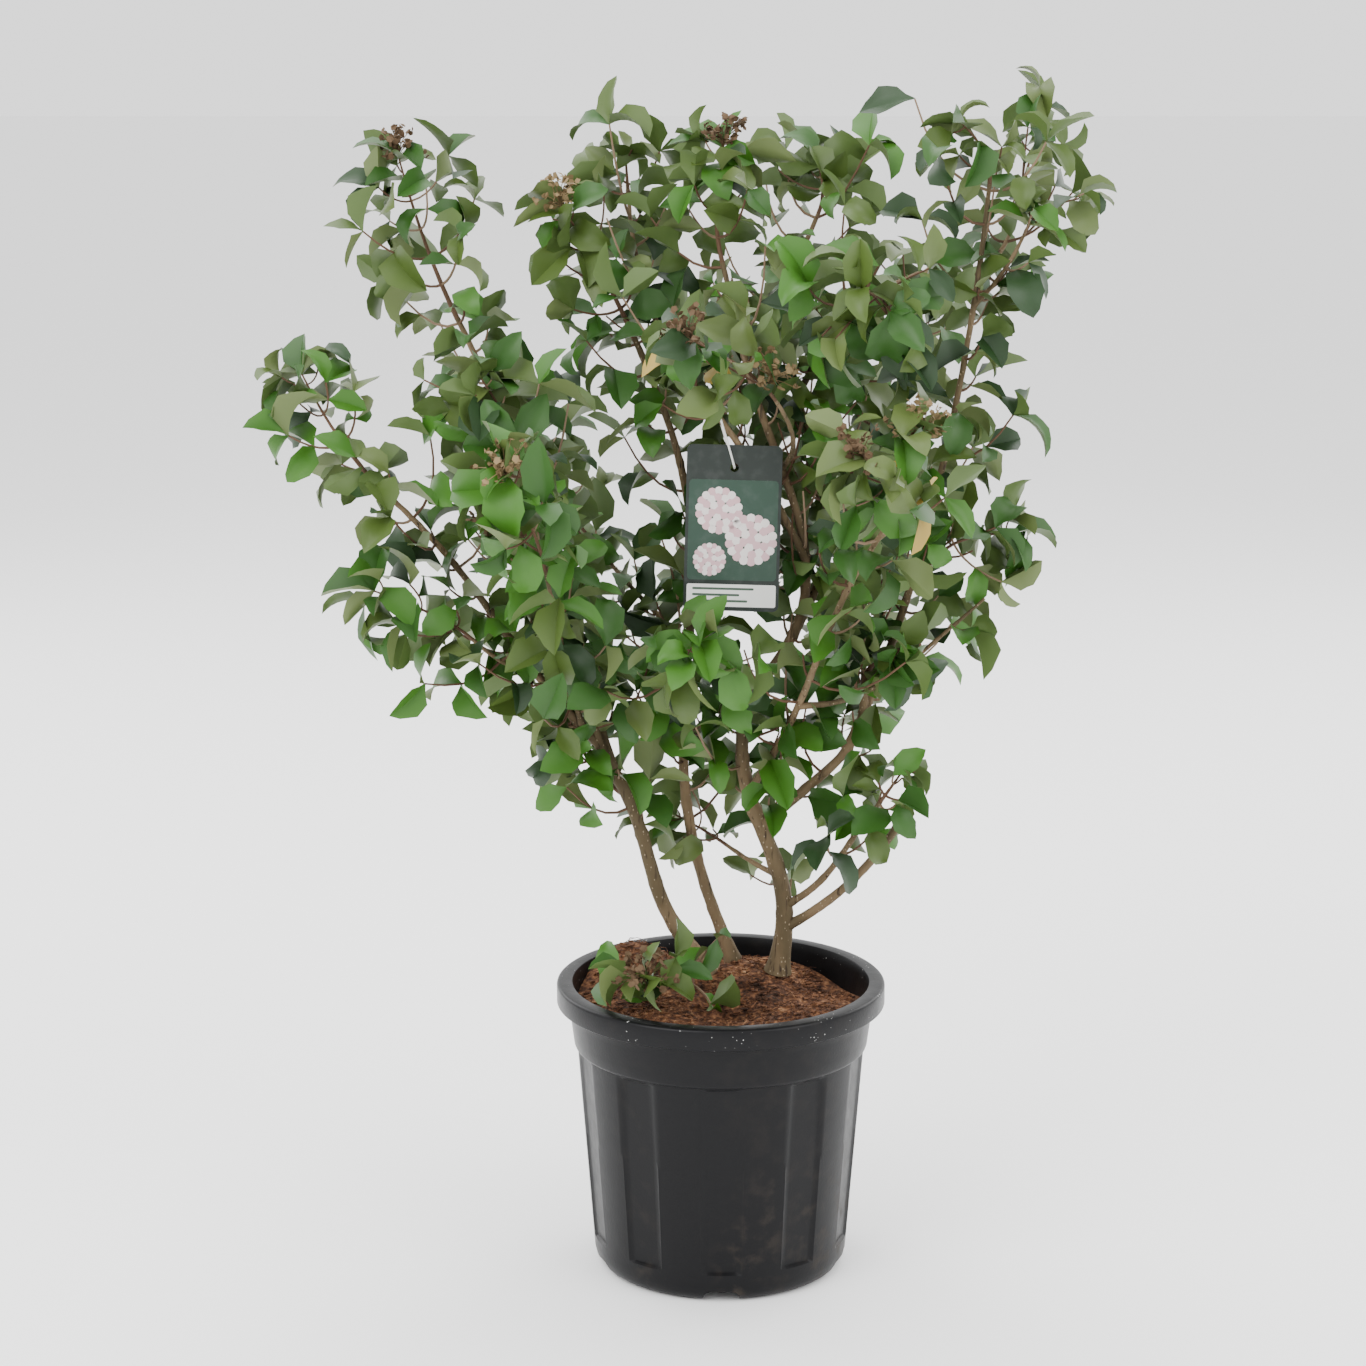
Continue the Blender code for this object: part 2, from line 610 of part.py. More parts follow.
class Space:
    """The ellipsoid that a mass fills, cut back where neighbours begin."""

    def __init__(self, mass):
        """Find the planes between this mass and every other."""
        self.centre = Vector(mass.centre)
        self.radii = Vector(mass.radii)
        self.planes = []
        for other in MASSES:
            if other.name == mass.name:
                continue
            apart = Vector(other.centre) - self.centre
            toward = apart.normalized()
            own = self.half_width(toward, mass.radii)
            share = own / (own + self.half_width(toward, other.radii))
            self.planes.append((self.centre + apart * share, toward))

    @staticmethod
    def half_width(toward, radii):
        """Return how far an ellipsoid reaches in a direction."""
        return math.sqrt(sum((part * radius) ** 2 for part, radius in zip(toward, radii)))

    def owns(self, place):
        """Tell whether a place is on this mass's side of every plane."""
        return all((place - point).dot(toward) < -SPACE_MARGIN for point, toward in self.planes)

    def holds(self, place):
        """Tell whether a place is inside the ellipsoid and owned."""
        offset = place - self.centre
        reach = sum((part / radius) ** 2 for part, radius in zip(offset, self.radii))
        return reach < 1.0 and self.owns(place)

    def exit_length(self, start, heading):
        """Return the distance from a start to the ellipsoid's far side."""
        scaled_start = Vector([part / radius for part, radius in zip(start - self.centre, self.radii)])
        scaled_heading = Vector([part / radius for part, radius in zip(heading, self.radii)])
        a = scaled_heading.dot(scaled_heading)
        b = scaled_start.dot(scaled_heading)
        c = scaled_start.dot(scaled_start) - 1.0
        inside = b * b - a * c
        if inside <= 0.0:
            return 0.0
        return (-b + math.sqrt(inside)) / a


class Leaf(NamedTuple):
    """One leaf: its root, the way it points, the way it faces, its length."""

    root: Vector
    along: Vector
    face: Vector
    length: float


def bent_path(start, heading, end, count, radii):
    """Return a path that leaves along a heading and bends to its end."""
    knee = start + heading * (end - start).length * 0.45
    shares = [index / (count - 1) for index in range(count)]
    points = [start * (1 - t) ** 2 + knee * 2 * t * (1 - t) + end * t ** 2 for t in shares]
    return Path(points, [radii[0] + (radii[1] - radii[0]) * t for t in shares])


def jitter(rng, size):
    """Return a small random vector."""
    return Vector([rng.uniform(-size, size) for _ in range(3)])


def stem_of(mass, space, paths):
    """Return the path of a mass's stem, from its limb to near its far side."""
    place, heading, radius = along_path(paths[mass.limb], mass.at)
    if mass.at < 1.0:
        heading = (space.centre - place).cross(heading).cross(-heading).normalized()
        place = place + heading * (radius * 1.06)
        radius = TWIG_TIP_RADIUS * 2
    start = place + heading * CLEARANCE
    toward = (space.centre - start).normalized()
    length = max(space.exit_length(start, toward) - mass.leaf * 0.8, SHORTEST_SHOOT)
    lead = start + heading * STEM_LEAD
    bend = bent_path(lead, heading, start + toward * length, STEM_POINTS, (radius, TWIG_TIP_RADIUS))
    return Path([start] + bend.points, [radius] + bend.radii)


def shoots_of(mass, space, stem, rng):
    """Yield the paths of the shoots, in opposite pairs up the stem."""
    pairs = (mass.shoots + 1) // 2
    turn = rng.uniform(0.0, math.pi)
    for index in range(mass.shoots):
        rise = STEM_BARE + (0.92 - STEM_BARE) * (index // 2) / max(pairs - 1, 1)
        place, heading, radius = along_path(stem, rise)
        angle = turn + (index // 2) * math.pi / 2 + (index % 2) * math.pi + rng.uniform(-0.35, 0.35)
        side = heading.orthogonal().normalized()
        side.rotate(Matrix.Rotation(angle, 3, heading))
        tilt = SHOOT_TILT + rng.uniform(-0.2, 0.2)
        away = (heading * math.cos(tilt) + side * math.sin(tilt)).normalized()
        length = space.exit_length(place, away) * rng.uniform(0.9, 1.0) - mass.leaf * 0.8
        if length < SHORTEST_SHOOT:
            length = SHORTEST_SHOOT
        end = place + away * length
        yield bent_path(place, side, end, SHOOT_POINTS, (min(SHOOT_RADIUS, radius), TWIG_TIP_RADIUS))


def leaves_of(mass, space, shoot, rng):
    """Yield the leaves of a shoot: opposite pairs, then one at its tip."""
    turn = rng.uniform(-0.4, 0.4)
    for node, (share, sides) in enumerate(LEAF_NODES):
        place, heading, _ = along_path(shoot, share)
        level = heading.cross(UP)
        if level.length < 0.2:
            level = heading.orthogonal()
        level.normalize()
        level.rotate(Matrix.Rotation(turn + node * math.pi / 2, 3, heading))
        outward = (place - space.centre).normalized()
        for side in sides:
            along = heading * (0.5 if side else 1.0) + level * side * 0.8 - UP * 0.15 + jitter(rng, 0.25)
            along.normalize()
            length = min(mass.leaf * rng.uniform(0.82, 1.1), space.exit_length(place, along) * 0.98)
            face = UP * 0.7 + outward * 0.6 + jitter(rng, 0.4)
            face = (face - along * face.dot(along)).normalized()
            yield Leaf(place + heading * side * PAIR_STAGGER, along, face, length)


def leaf_object(leaf, collection):
    """Make one folded leaf of eight faces, its root an upright edge."""
    bm = bmesh.new()
    bmesh.ops.create_uvsphere(bm, u_segments=4, v_segments=2, radius=1.0)
    half_width = leaf.length * LEAF_WIDTH / 2
    half_thick = LEAF_THICKNESS / 2
    waist = leaf.length * LEAF_WIDEST
    for vertex in bm.verts:
        if vertex.co.z < -0.5:
            vertex.co = (0.0, half_thick, 0.0)
        elif vertex.co.z > 0.5:
            vertex.co = (0.0, 0.0, leaf.length)
        elif abs(vertex.co.x) > 0.5:
            vertex.co = (math.copysign(half_width, vertex.co.x), leaf.length * LEAF_FOLD, waist)
        elif vertex.co.y > 0:
            vertex.co = (0.0, half_thick, waist)
        else:
            vertex.co = (0.0, -half_thick, 0.0)
    side = leaf.face.cross(leaf.along)
    turn = Matrix((side, leaf.face, leaf.along)).transposed().to_4x4()
    bm.transform(Matrix.Translation(leaf.root - leaf.along * TWIG_TIP_RADIUS / 2) @ turn)
    face_out(bm)
    return add_object("leaf", mesh_from(bm, "leaf"), collection)


def fits(obj, within, obstacles):
    """Tell whether a piece keeps to its space and touches no obstacle."""
    if not all(within(vertex.co) for vertex in obj.data.vertices):
        return False
    own_tree = tree_of(obj.data)
    return not any(own_tree.overlap(obstacle) for obstacle in obstacles)


def grow_mass(mass, paths, obstacles, collection, material):
    """Grow one mass of foliage from its limb and fuse it into one solid."""
    rng = random.Random(f"{mass.name} {mass.seed}")
    space = Space(mass)
    pieces = make_collection(mass.name + "_pieces")
    stem = stem_of(mass, space, paths)
    trunk = tube(mass.name, stem, TWIG_SIDES, collection, material)
    others = [tree for name, tree in obstacles.items() if name != mass.limb]
    everything = list(obstacles.values())
    if not fits(trunk, space.owns, others):
        raise ValueError(f"{mass.name}: the stem leaves its space or touches a limb")
    bearers = [(Path(stem.points[-2:], stem.radii[-2:]), tree_of(trunk.data))]
    for shoot in shoots_of(mass, space, stem, rng):
        twig = tube("twig", shoot, TWIG_SIDES, pieces)
        twigs = [tree for _, tree in bearers[1:]]
        if fits(twig, space.owns, everything + twigs):
            bearers.append((shoot, tree_of(twig.data)))
        else:
            discard(twig)
    blades = []
    for bearer, own_tree in bearers:
        crowd = [tree for _, tree in bearers if tree is not own_tree]
        for leaf in leaves_of(mass, space, bearer, rng):
            blade = leaf_object(leaf, pieces)
            small = leaf.length < mass.leaf * SMALLEST_LEAF
            if small or not fits(blade, space.holds, everything + crowd + blades):
                discard(blade)
            else:
                blades.append(tree_of(blade.data))
    fuse = trunk.modifiers.new("fuse", "BOOLEAN")
    fuse.operation = "UNION"
    fuse.operand_type = "COLLECTION"
    fuse.collection = pieces
    fuse.solver = "MANIFOLD"
    bake_modifiers(trunk)
    for piece in list(pieces.objects):
        discard(piece)
    bpy.data.collections.remove(pieces)
    keep_main_shell(trunk.data)
    return trunk


def main():
    """Build the pot, the soil, the limbs, the label and the foliage."""
    clear_scene()
    shrub = make_collection("potted_snowball_shrub")
    cutters = make_collection("cutters")
    plastic = principled("pot_plastic", (0.018, 0.018, 0.019), 0.42)
    mulch = principled("coir_mulch", (0.105, 0.050, 0.028), 0.95)
    bark = principled("bark", (0.24, 0.17, 0.10), 0.8)
    foliage = principled("foliage", (0.09, 0.17, 0.035), 0.55)
    label_materials = {
        "label": principled("label_print", (0.03, 0.06, 0.045), 0.35),
        "strap": principled("strap_plastic", (0.75, 0.75, 0.72), 0.4),
    }
    pot = build_pot(shrub, cutters, plastic)
    soil = build_soil(shrub, mulch)
    paths = build_limbs(shrub, bark, tree_of(soil.data))
    label, strap = build_label(shrub, label_materials, paths)
    pot_mesh = bpy.data.meshes.new_from_object(pot.evaluated_get(bpy.context.evaluated_depsgraph_get()))
    obstacles = {"pot": tree_of(pot_mesh, LIMB_MARGIN)}
    for obj in (soil, label, strap, *(bpy.data.objects[limb.name] for limb in LIMBS)):
        obstacles[obj.name] = tree_of(obj.data, LIMB_MARGIN)
    bpy.data.meshes.remove(pot_mesh)
    for mass in MASSES:
        grow_mass(mass, paths, obstacles, shrub, foliage)
    for sides in (TWIG_SIDES, STRAP_SIDES, LIMB_SIDES):
        discard(bpy.data.objects[f"ring_{sides}"])


if __name__ == "__main__":
    main()
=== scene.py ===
"""A fragrant snowball shrub in a black nursery pot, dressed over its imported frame.

Units are metres, +Z is up and the shrub's front faces -Y. The trunks and limbs
follow one table of feet, tips and bends. Each mass of foliage is grown by one
seeded rule: a stem that carries on from its limb, opposite shoots, and opposite
toothed leaves, all inside the mass's own ellipsoid.
"""

import json
import logging
import math
import random
from dataclasses import dataclass, field
from enum import Enum
from typing import Any, Iterator, NamedTuple, Optional, Sequence, Union

import bmesh
import bpy
from mathutils import Matrix, Vector, noise
from mathutils.bvhtree import BVHTree

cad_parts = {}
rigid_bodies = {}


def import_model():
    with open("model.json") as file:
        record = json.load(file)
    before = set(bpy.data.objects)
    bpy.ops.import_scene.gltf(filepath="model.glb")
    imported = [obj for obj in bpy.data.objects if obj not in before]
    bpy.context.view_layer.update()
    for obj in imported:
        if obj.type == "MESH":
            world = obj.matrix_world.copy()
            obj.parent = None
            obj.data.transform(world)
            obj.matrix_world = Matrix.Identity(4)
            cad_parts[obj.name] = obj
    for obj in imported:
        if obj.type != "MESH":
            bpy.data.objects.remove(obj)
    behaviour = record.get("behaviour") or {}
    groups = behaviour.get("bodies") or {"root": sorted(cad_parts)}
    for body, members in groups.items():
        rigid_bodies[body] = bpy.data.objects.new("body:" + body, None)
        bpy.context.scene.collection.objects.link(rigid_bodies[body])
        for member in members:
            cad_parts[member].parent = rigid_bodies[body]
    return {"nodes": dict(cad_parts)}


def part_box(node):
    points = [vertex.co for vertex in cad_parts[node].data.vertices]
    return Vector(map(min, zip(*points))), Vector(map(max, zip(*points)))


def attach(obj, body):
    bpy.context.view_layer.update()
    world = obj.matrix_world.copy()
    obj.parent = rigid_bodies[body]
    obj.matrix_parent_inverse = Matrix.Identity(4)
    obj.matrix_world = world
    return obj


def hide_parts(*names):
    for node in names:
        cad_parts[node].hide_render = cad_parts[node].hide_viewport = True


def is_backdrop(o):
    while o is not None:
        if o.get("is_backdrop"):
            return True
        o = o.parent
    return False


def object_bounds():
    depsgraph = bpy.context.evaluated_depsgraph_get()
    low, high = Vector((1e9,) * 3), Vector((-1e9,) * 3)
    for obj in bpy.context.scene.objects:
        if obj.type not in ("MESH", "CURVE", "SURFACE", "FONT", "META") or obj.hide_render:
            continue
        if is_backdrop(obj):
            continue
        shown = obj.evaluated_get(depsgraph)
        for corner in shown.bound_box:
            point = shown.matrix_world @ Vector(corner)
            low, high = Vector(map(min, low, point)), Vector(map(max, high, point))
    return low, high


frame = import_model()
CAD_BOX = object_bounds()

log = logging.getLogger("snowball_shrub")

UP = Vector((0.0, 0.0, 1.0))
WELD = 0.00001
Colour = tuple[float, float, float]


class Limb(NamedTuple):
    """One limb: where it springs from, its tip, its two bends and its girth in mm."""

    name: str
    parent: str
    foot: Any
    tip: tuple
    bow: tuple
    sway: tuple
    girth: tuple


class Mass(NamedTuple):
    """One mass of foliage: its limb, its space, its shoots and its leaf length."""

    name: str
    limb: str
    centre: tuple
    radii: tuple
    shoots: int
    leaf: float = 0.056
    at: float = 1.0


class Path(NamedTuple):
    """The centre line of a limb or twig, with its radius at each point."""

    points: list
    radii: list


LIMBS = (
    Limb(
        "trunk_right", "", (0.059, 0.06), (0.024, 0.035, 0.575),
        (0.003, 0, 0.003), (0.012, 0, 0.003), (9.2, 6.2),
    ),
    Limb(
        "trunk_left", "", (-0.01, 0.064), (-0.121, 0.02, 0.532),
        (-0.006, 0, -0.004), (-0.008, 0, 0), (8, 5.6),
    ),
    Limb(
        "trunk_mid", "", (0.014, 0.092), (-0.086, 0.06, 0.934),
        (0.003, 0, 0.002), (-0.024, 0, -0.005), (6.2, 3),
    ),
    Limb("centre", "trunk_right", 1.0, (0, 0.02, 1.011), (0.056, 0, -0.009), (0.021, 0, -0.005), (5.6, 2.5)),
    Limb(
        "far_left", "trunk_left", 1.0, (-0.324, -0.042, 0.796),
        (0, 0, 0.004), (-0.003, 0, -0.003), (5, 2.5),
    ),
    Limb(
        "upper_left", "trunk_left", 0.88, (-0.261, 0.08, 0.951),
        (0.009, 0, 0.003), (-0.004, 0, 0), (4.5, 2.8),
    ),
    Limb(
        "left_mid", "trunk_left", 0.96, (-0.192, -0.06, 0.816),
        (-0.01, 0, -0.002), (0.004, 0, 0), (3.6, 2.2),
    ),
    Limb("left_front", "far_left", 0.08, (-0.165, -0.18, 0.745), (0, 0.01, -0.01), (0, 0, 0), (3.2, 2)),
    Limb("left_low", "far_left", 0.29, (-0.24, -0.08, 0.66), (0, 0, -0.006), (0, 0, 0), (2.6, 1.8)),
    Limb(
        "centre_top", "centre", 0.35, (-0.093, 0.14, 1.073),
        (-0.019, -0.07, -0.008), (0.01, 0, 0.006), (4, 2),
    ),
    Limb(
        "centre_right", "centre", 0.17, (0.098, 0.16, 1.048),
        (0.003, 0, -0.007), (0.027, 0, -0.004), (4.6, 2.2),
    ),
    Limb("right_front", "centre_right", 0.57, (0.127, -0.09, 0.985), (0, 0, 0.006), (0, 0, 0), (3.8, 2.4)),
    Limb("right_back", "centre_right", 0.18, (0.168, 0.15, 0.87), (0, 0.012, 0), (0, 0, 0), (3.2, 2.2)),
    Limb(
        "right_fork", "trunk_right", 0.54, (0.141, 0, 0.593),
        (0.018, 0, -0.009), (-0.005, 0, 0.002), (5.6, 4),
    ),
    Limb(
        "right_top", "right_fork", 0.64, (0.25, -0.05, 1.09),
        (0.021, 0, -0.012), (0, 0, -0.005), (4.6, 2.2),
    ),
    Limb("right_peak", "right_top", 0.85, (0.287, 0.045, 1.063), (0.006, 0, -0.004), (0, 0, 0), (2.6, 1.8)),
    Limb("right_tip", "right_top", 0.8, (0.285, -0.045, 1.045), (0.004, 0, -0.002), (0, 0, 0), (2.3, 1.7)),
    Limb(
        "right_long", "trunk_right", 0.67, (0.157, -0.17, 0.795),
        (0, 0.003, 0.002), (0.005, 0, -0.002), (4, 2.4),
    ),
    Limb(
        "right_bare", "right_long", 0.33, (0.253, -0.05, 0.694),
        (0.009, 0, -0.018), (0.001, 0, -0.005), (3.2, 1.5),
    ),
    Limb(
        "right_mid_back", "right_fork", 0.87, (0.145, 0.175, 0.69),
        (0.003, 0.008, -0.006), (0, 0, 0), (3.4, 2.2),
    ),
    Limb("right_sprigs", "right_top", 0.34, (0.212, -0.03, 0.735), (0, 0, -0.003), (0, 0, 0), (2.5, 1.8)),
    Limb("stub", "trunk_right", 0.16, (0.178, 0, 0.458), (0.008, 0, -0.008), (0, 0, 0), (5, 4)),
    Limb(
        "low_right", "trunk_right", 0.24, (0.157, -0.02, 0.484),
        (0.006, 0, -0.006), (0.002, 0, -0.002), (4, 2.2),
    ),
    Limb("inner_low", "trunk_right", 0.35, (0.007, 0.09, 0.41), (0, 0, -0.002), (0, 0, 0), (3, 2)),
    Limb("centre_low", "trunk_mid", 0.39, (-0.049, -0.06, 0.62), (0, 0, -0.006), (0, 0, 0), (2.8, 2)),
    Limb("back_left", "trunk_mid", 0.52, (-0.133, 0.19, 0.71), (0, 0.006, -0.006), (0, 0, 0), (3.2, 2)),
    Limb("back_centre", "centre", 0.26, (0.009, 0.22, 0.83), (0.011, 0.01, -0.004), (0.004, 0, 0), (3.4, 2)),
    Limb("centre_front", "centre", 0.55, (0.048, -0.12, 0.895), (0.014, 0, -0.006), (0, 0, 0), (2.8, 1.8)),
)

MASSES = (
    Mass("leaves_far_left", "far_left", (-0.38, -0.03, 0.875), (0.078, 0.08, 0.09), 6),
    Mass("leaves_left_low", "left_low", (-0.31, -0.1, 0.7), (0.072, 0.07, 0.062), 4),
    Mass("leaves_left_front", "left_front", (-0.185, -0.235, 0.815), (0.078, 0.085, 0.08), 6),
    Mass("leaves_upper_left", "upper_left", (-0.295, 0.09, 1.045), (0.097, 0.09, 0.112), 7),
    Mass("leaves_left_mid", "left_mid", (-0.22, -0.06, 0.885), (0.116, 0.078, 0.066), 6),
    Mass("leaves_centre_left", "trunk_mid", (-0.135, 0.05, 1.025), (0.072, 0.085, 0.09), 6),
    Mass("leaves_centre_top", "centre_top", (-0.095, 0.15, 1.1), (0.04, 0.055, 0.042), 2, 0.044),
    Mass("leaves_crown", "centre", (0.000, 0.02, 1.06), (0.077, 0.09, 0.105), 6),
    Mass("leaves_centre_front", "centre_front", (-0.01, -0.195, 0.945), (0.078, 0.08, 0.066), 6),
    Mass("leaves_centre_right", "centre_right", (0.097, 0.175, 1.095), (0.076, 0.08, 0.05), 5),
    Mass("leaves_right_front", "right_front", (0.14, -0.15, 0.985), (0.082, 0.09, 0.105), 7),
    Mass("leaves_right_back", "right_back", (0.2, 0.195, 0.945), (0.115, 0.1, 0.105), 8),
    Mass("leaves_right_top", "right_top", (0.23, -0.06, 1.13), (0.048, 0.06, 0.06), 3, 0.046),
    Mass("leaves_right_peak", "right_peak", (0.31, 0.08, 1.13), (0.052, 0.06, 0.076), 4, 0.046),
    Mass("leaves_right_tip", "right_tip", (0.325, -0.045, 1.07), (0.052, 0.055, 0.042), 2, 0.046),
    Mass("leaves_right_mid_front", "right_long", (0.14, -0.21, 0.83), (0.082, 0.09, 0.095), 7),
    Mass("leaves_right_mid_back", "right_mid_back", (0.155, 0.235, 0.725), (0.095, 0.09, 0.1), 7),
    Mass("leaves_right_sprigs", "right_sprigs", (0.265, -0.03, 0.75), (0.06, 0.06, 0.07), 4),
    Mass("leaves_right_low", "right_fork", (0.172, -0.05, 0.64), (0.052, 0.058, 0.056), 4),
    Mass("leaves_low_right", "low_right", (0.175, -0.02, 0.51), (0.042, 0.05, 0.044), 3, 0.044),
    Mass("leaves_centre_low", "centre_low", (-0.03, -0.14, 0.66), (0.097, 0.085, 0.066), 6),
    Mass("leaves_left_droop", "trunk_left", (-0.16, 0.08, 0.55), (0.067, 0.075, 0.085), 5, 0.056, 0.78),
    Mass("leaves_inner_low", "inner_low", (-0.03, 0.1, 0.43), (0.052, 0.06, 0.066), 4, 0.046),
    Mass("leaves_base_sprig", "trunk_left", (-0.06, -0.06, 0.32), (0.1, 0.08, 0.055), 5, 0.05, 0.08),
    Mass("leaves_back_left", "back_left", (-0.18, 0.26, 0.775), (0.078, 0.09, 0.09), 6),
    Mass("leaves_back_centre", "back_centre", (-0.005, 0.28, 0.905), (0.082, 0.09, 0.09), 6),
)

# Masses that carry dried flower heads, and how many
DRIED_HEADS = {
    "leaves_upper_left": 1,
    "leaves_centre_left": 1,
    "leaves_left_front": 2,
    "leaves_crown": 1,
    "leaves_centre_front": 2,
    "leaves_right_mid_front": 2,
    "leaves_base_sprig": 1,
}


class Signal:
    """A shader socket that takes part in Python arithmetic."""

    def __init__(self, recipe: "Recipe", socket: bpy.types.NodeSocket) -> None:
        """Wrap an output socket of a recipe."""
        self.recipe = recipe
        self.socket = socket

    def _math(self, operation: str, first: Any, second: Any) -> "Signal":
        """Return the result of one Math node."""
        return self.recipe.node("ShaderNodeMath", {0: first, 1: second}, operation=operation)

    def __add__(self, other: Any) -> "Signal":
        """Return self + other."""
        return self._math("ADD", self, other)

    def __radd__(self, other: Any) -> "Signal":
        """Return other + self."""
        return self._math("ADD", other, self)

    def __sub__(self, other: Any) -> "Signal":
        """Return self - other."""
        return self._math("SUBTRACT", self, other)

    def __rsub__(self, other: Any) -> "Signal":
        """Return other - self."""
        return self._math("SUBTRACT", other, self)

    def __mul__(self, other: Any) -> "Signal":
        """Return self * other."""
        return self._math("MULTIPLY", self, other)

    def __rmul__(self, other: Any) -> "Signal":
        """Return other * self."""
        return self._math("MULTIPLY", other, self)


class Recipe:
    """One material while it is mixed from nodes."""

    def __init__(self, name: str) -> None:
        """Start a material with one Principled shader."""
        self.material = bpy.data.materials.new(name)
        self.material.use_nodes = True
        self.nodes = self.material.node_tree.nodes
        self.links = self.material.node_tree.links
        self.shader = self.nodes["Principled BSDF"]

    def feed(self, socket: bpy.types.NodeSocket, value: Any) -> None:
        """Link a signal to a socket, or set the socket's own value.

        Args:
            socket: The input that is fed.
            value: A signal, a number, a vector or a colour.
        """
        if isinstance(value, Signal):
            self.links.new(value.socket, socket)
        elif socket.type == "RGBA":
            socket.default_value = (*value, 1.0)
        else:
            socket.default_value = value

    def node(
        self,
        kind: str,
        values: Optional[dict] = None,
        output: Union[int, str] = 0,
        stops: Sequence[tuple] = (),
        **settings: Any,
    ) -> Signal:
        """Add a node and return one of its outputs.

        Args:
            kind: The node's type.
            values: Values or signals, by input name or index.
            output: The name or index of the output that is returned.
            stops: The places and colours of a colour ramp.
            settings: The node's own settings, set before its inputs.

        Returns:
            The chosen output as a signal.
        """
        made = self.nodes.new(kind)
        for key, value in settings.items():
            setattr(made, key, value)
        if stops:
            elements = made.color_ramp.elements
            elements[0].position, elements[-1].position = stops[0][0], stops[-1][0]
            for place, _ in stops[1:-1]:
                elements.new(place)
            for element, (_, colour) in zip(elements, stops):
                element.color = (*colour, 1.0)
        for key, value in (values or {}).items():
            self.feed(made.inputs[key], value)
        return Signal(self, made.outputs[output])

    def place(self, stretch: Colour = (1.0, 1.0, 1.0)) -> Signal:
        """Return Object coordinates, scaled along each axis."""
        here = self.node("ShaderNodeTexCoord", output="Object")
        return self.node("ShaderNodeMapping", {"Vector": here, "Scale": stretch})

    def height(self) -> Signal:
        """Return how high a point lies."""
        return self.node("ShaderNodeSeparateXYZ", {0: self.place()}, output=2)

    def grain(self, scale: float, detail: float = 4.0, stretch: Colour = (1.0, 1.0, 1.0)) -> Signal:
        """Return noise of a scale, from 0 to 1."""
        values = {"Vector": self.place(stretch), "Scale": scale, "Detail": detail}
        return self.node("ShaderNodeTexNoise", values)

    def cells(self, scale: float, stretch: Colour = (1.0, 1.0, 1.0)) -> Signal:
        """Return the distance to the nearest of many scattered points."""
        return self.node("ShaderNodeTexVoronoi", {"Vector": self.place(stretch), "Scale": scale})

    def step(self, value: Signal, low: float, high: float) -> Signal:
        """Return a smooth step from 0 at low to 1 at high."""
        return self.node(
            "ShaderNodeMapRange",
            {"Value": value, "From Min": low, "From Max": high},
            interpolation_type="SMOOTHSTEP",
        )

    def mix(self, factor: Any, first: Any, second: Any) -> Signal:
        """Return a blend of two colours."""
        return self.node("ShaderNodeMix", {0: factor, 6: first, 7: second}, output=2, data_type="RGBA")

    def relief(self, height: Signal, distance: float, strength: float = 1.0) -> None:
        """Bump the surface by a height."""
        bump = self.node("ShaderNodeBump", {"Height": height, "Distance": distance, "Strength": strength})
        self.feed(self.shader.inputs["Normal"], bump)

    def finish(self, colour: Any, roughness: Any, specular: float = 0.5) -> bpy.types.Material:
        """Feed the shader and return the material.

        Args:
            colour: The base colour, a signal or three numbers.
            roughness: The roughness, a signal or a number.
            specular: The specular level, a number.

        Returns:
            The finished material.
        """
        self.feed(self.shader.inputs["Base Color"], colour)
        self.feed(self.shader.inputs["Roughness"], roughness)
        self.shader.inputs["Specular IOR Level"].default_value = specular
        return self.material


@dataclass(frozen=True)
class PotPlastic:
    """Satin near-black plastic, dusty low down and speckled on its rim."""

    colour: Colour = (0.0035, 0.0035, 0.0042)
    dust: Colour = (0.085, 0.064, 0.046)
    speck: Colour = (0.62, 0.62, 0.60)

    def mix(self) -> bpy.types.Material:
        """Return the material."""
        recipe = Recipe("satin_pot_plastic")
        height = recipe.height()
        scuff = recipe.step(recipe.grain(55.0, 8.0), 0.46, 0.72)
        streak = recipe.step(recipe.grain(8.0, 6.0, (1.0, 1.0, 0.3)), 0.42, 0.72)
        dust = scuff * streak * ((1.0 - recipe.step(height, 0.0, 0.17)) * 0.36 + 0.05)
        rim = recipe.step(height, 0.268, 0.284) * recipe.step(recipe.grain(30.0), 0.50, 0.60)
        specks = (1.0 - recipe.step(recipe.cells(210.0), 0.07, 0.13)) * rim
        colour = recipe.mix(specks, recipe.mix(dust, self.colour, self.dust), self.speck)
        recipe.relief(recipe.grain(520.0, 2.0) + scuff * 0.4, 0.00012)
        return recipe.finish(colour, recipe.grain(70.0, 3.0) * 0.16 + 0.27 + dust * 0.6, 0.16)


@dataclass(frozen=True)
class CoirMulch:
    """Reddish-brown fibrous mulch."""

    deep: Colour = (0.016, 0.008, 0.005)
    brown: Colour = (0.075, 0.032, 0.017)
    rust: Colour = (0.19, 0.085, 0.040)
    straw: Colour = (0.34, 0.21, 0.115)

    def mix(self) -> bpy.types.Material:
        """Return the material."""
        recipe = Recipe("coir_mulch_fibres")
        strands = recipe.grain(190.0, 9.0)
        tone = strands * 0.6 + recipe.grain(34.0, 5.0) * 0.4
        stops = ((0.36, self.deep), (0.48, self.brown), (0.58, self.rust), (0.70, self.straw))
        colour = recipe.node("ShaderNodeValToRGB", {0: tone}, stops=stops)
        recipe.relief(strands, 0.0018)
        return recipe.finish(colour, 0.93, 0.2)


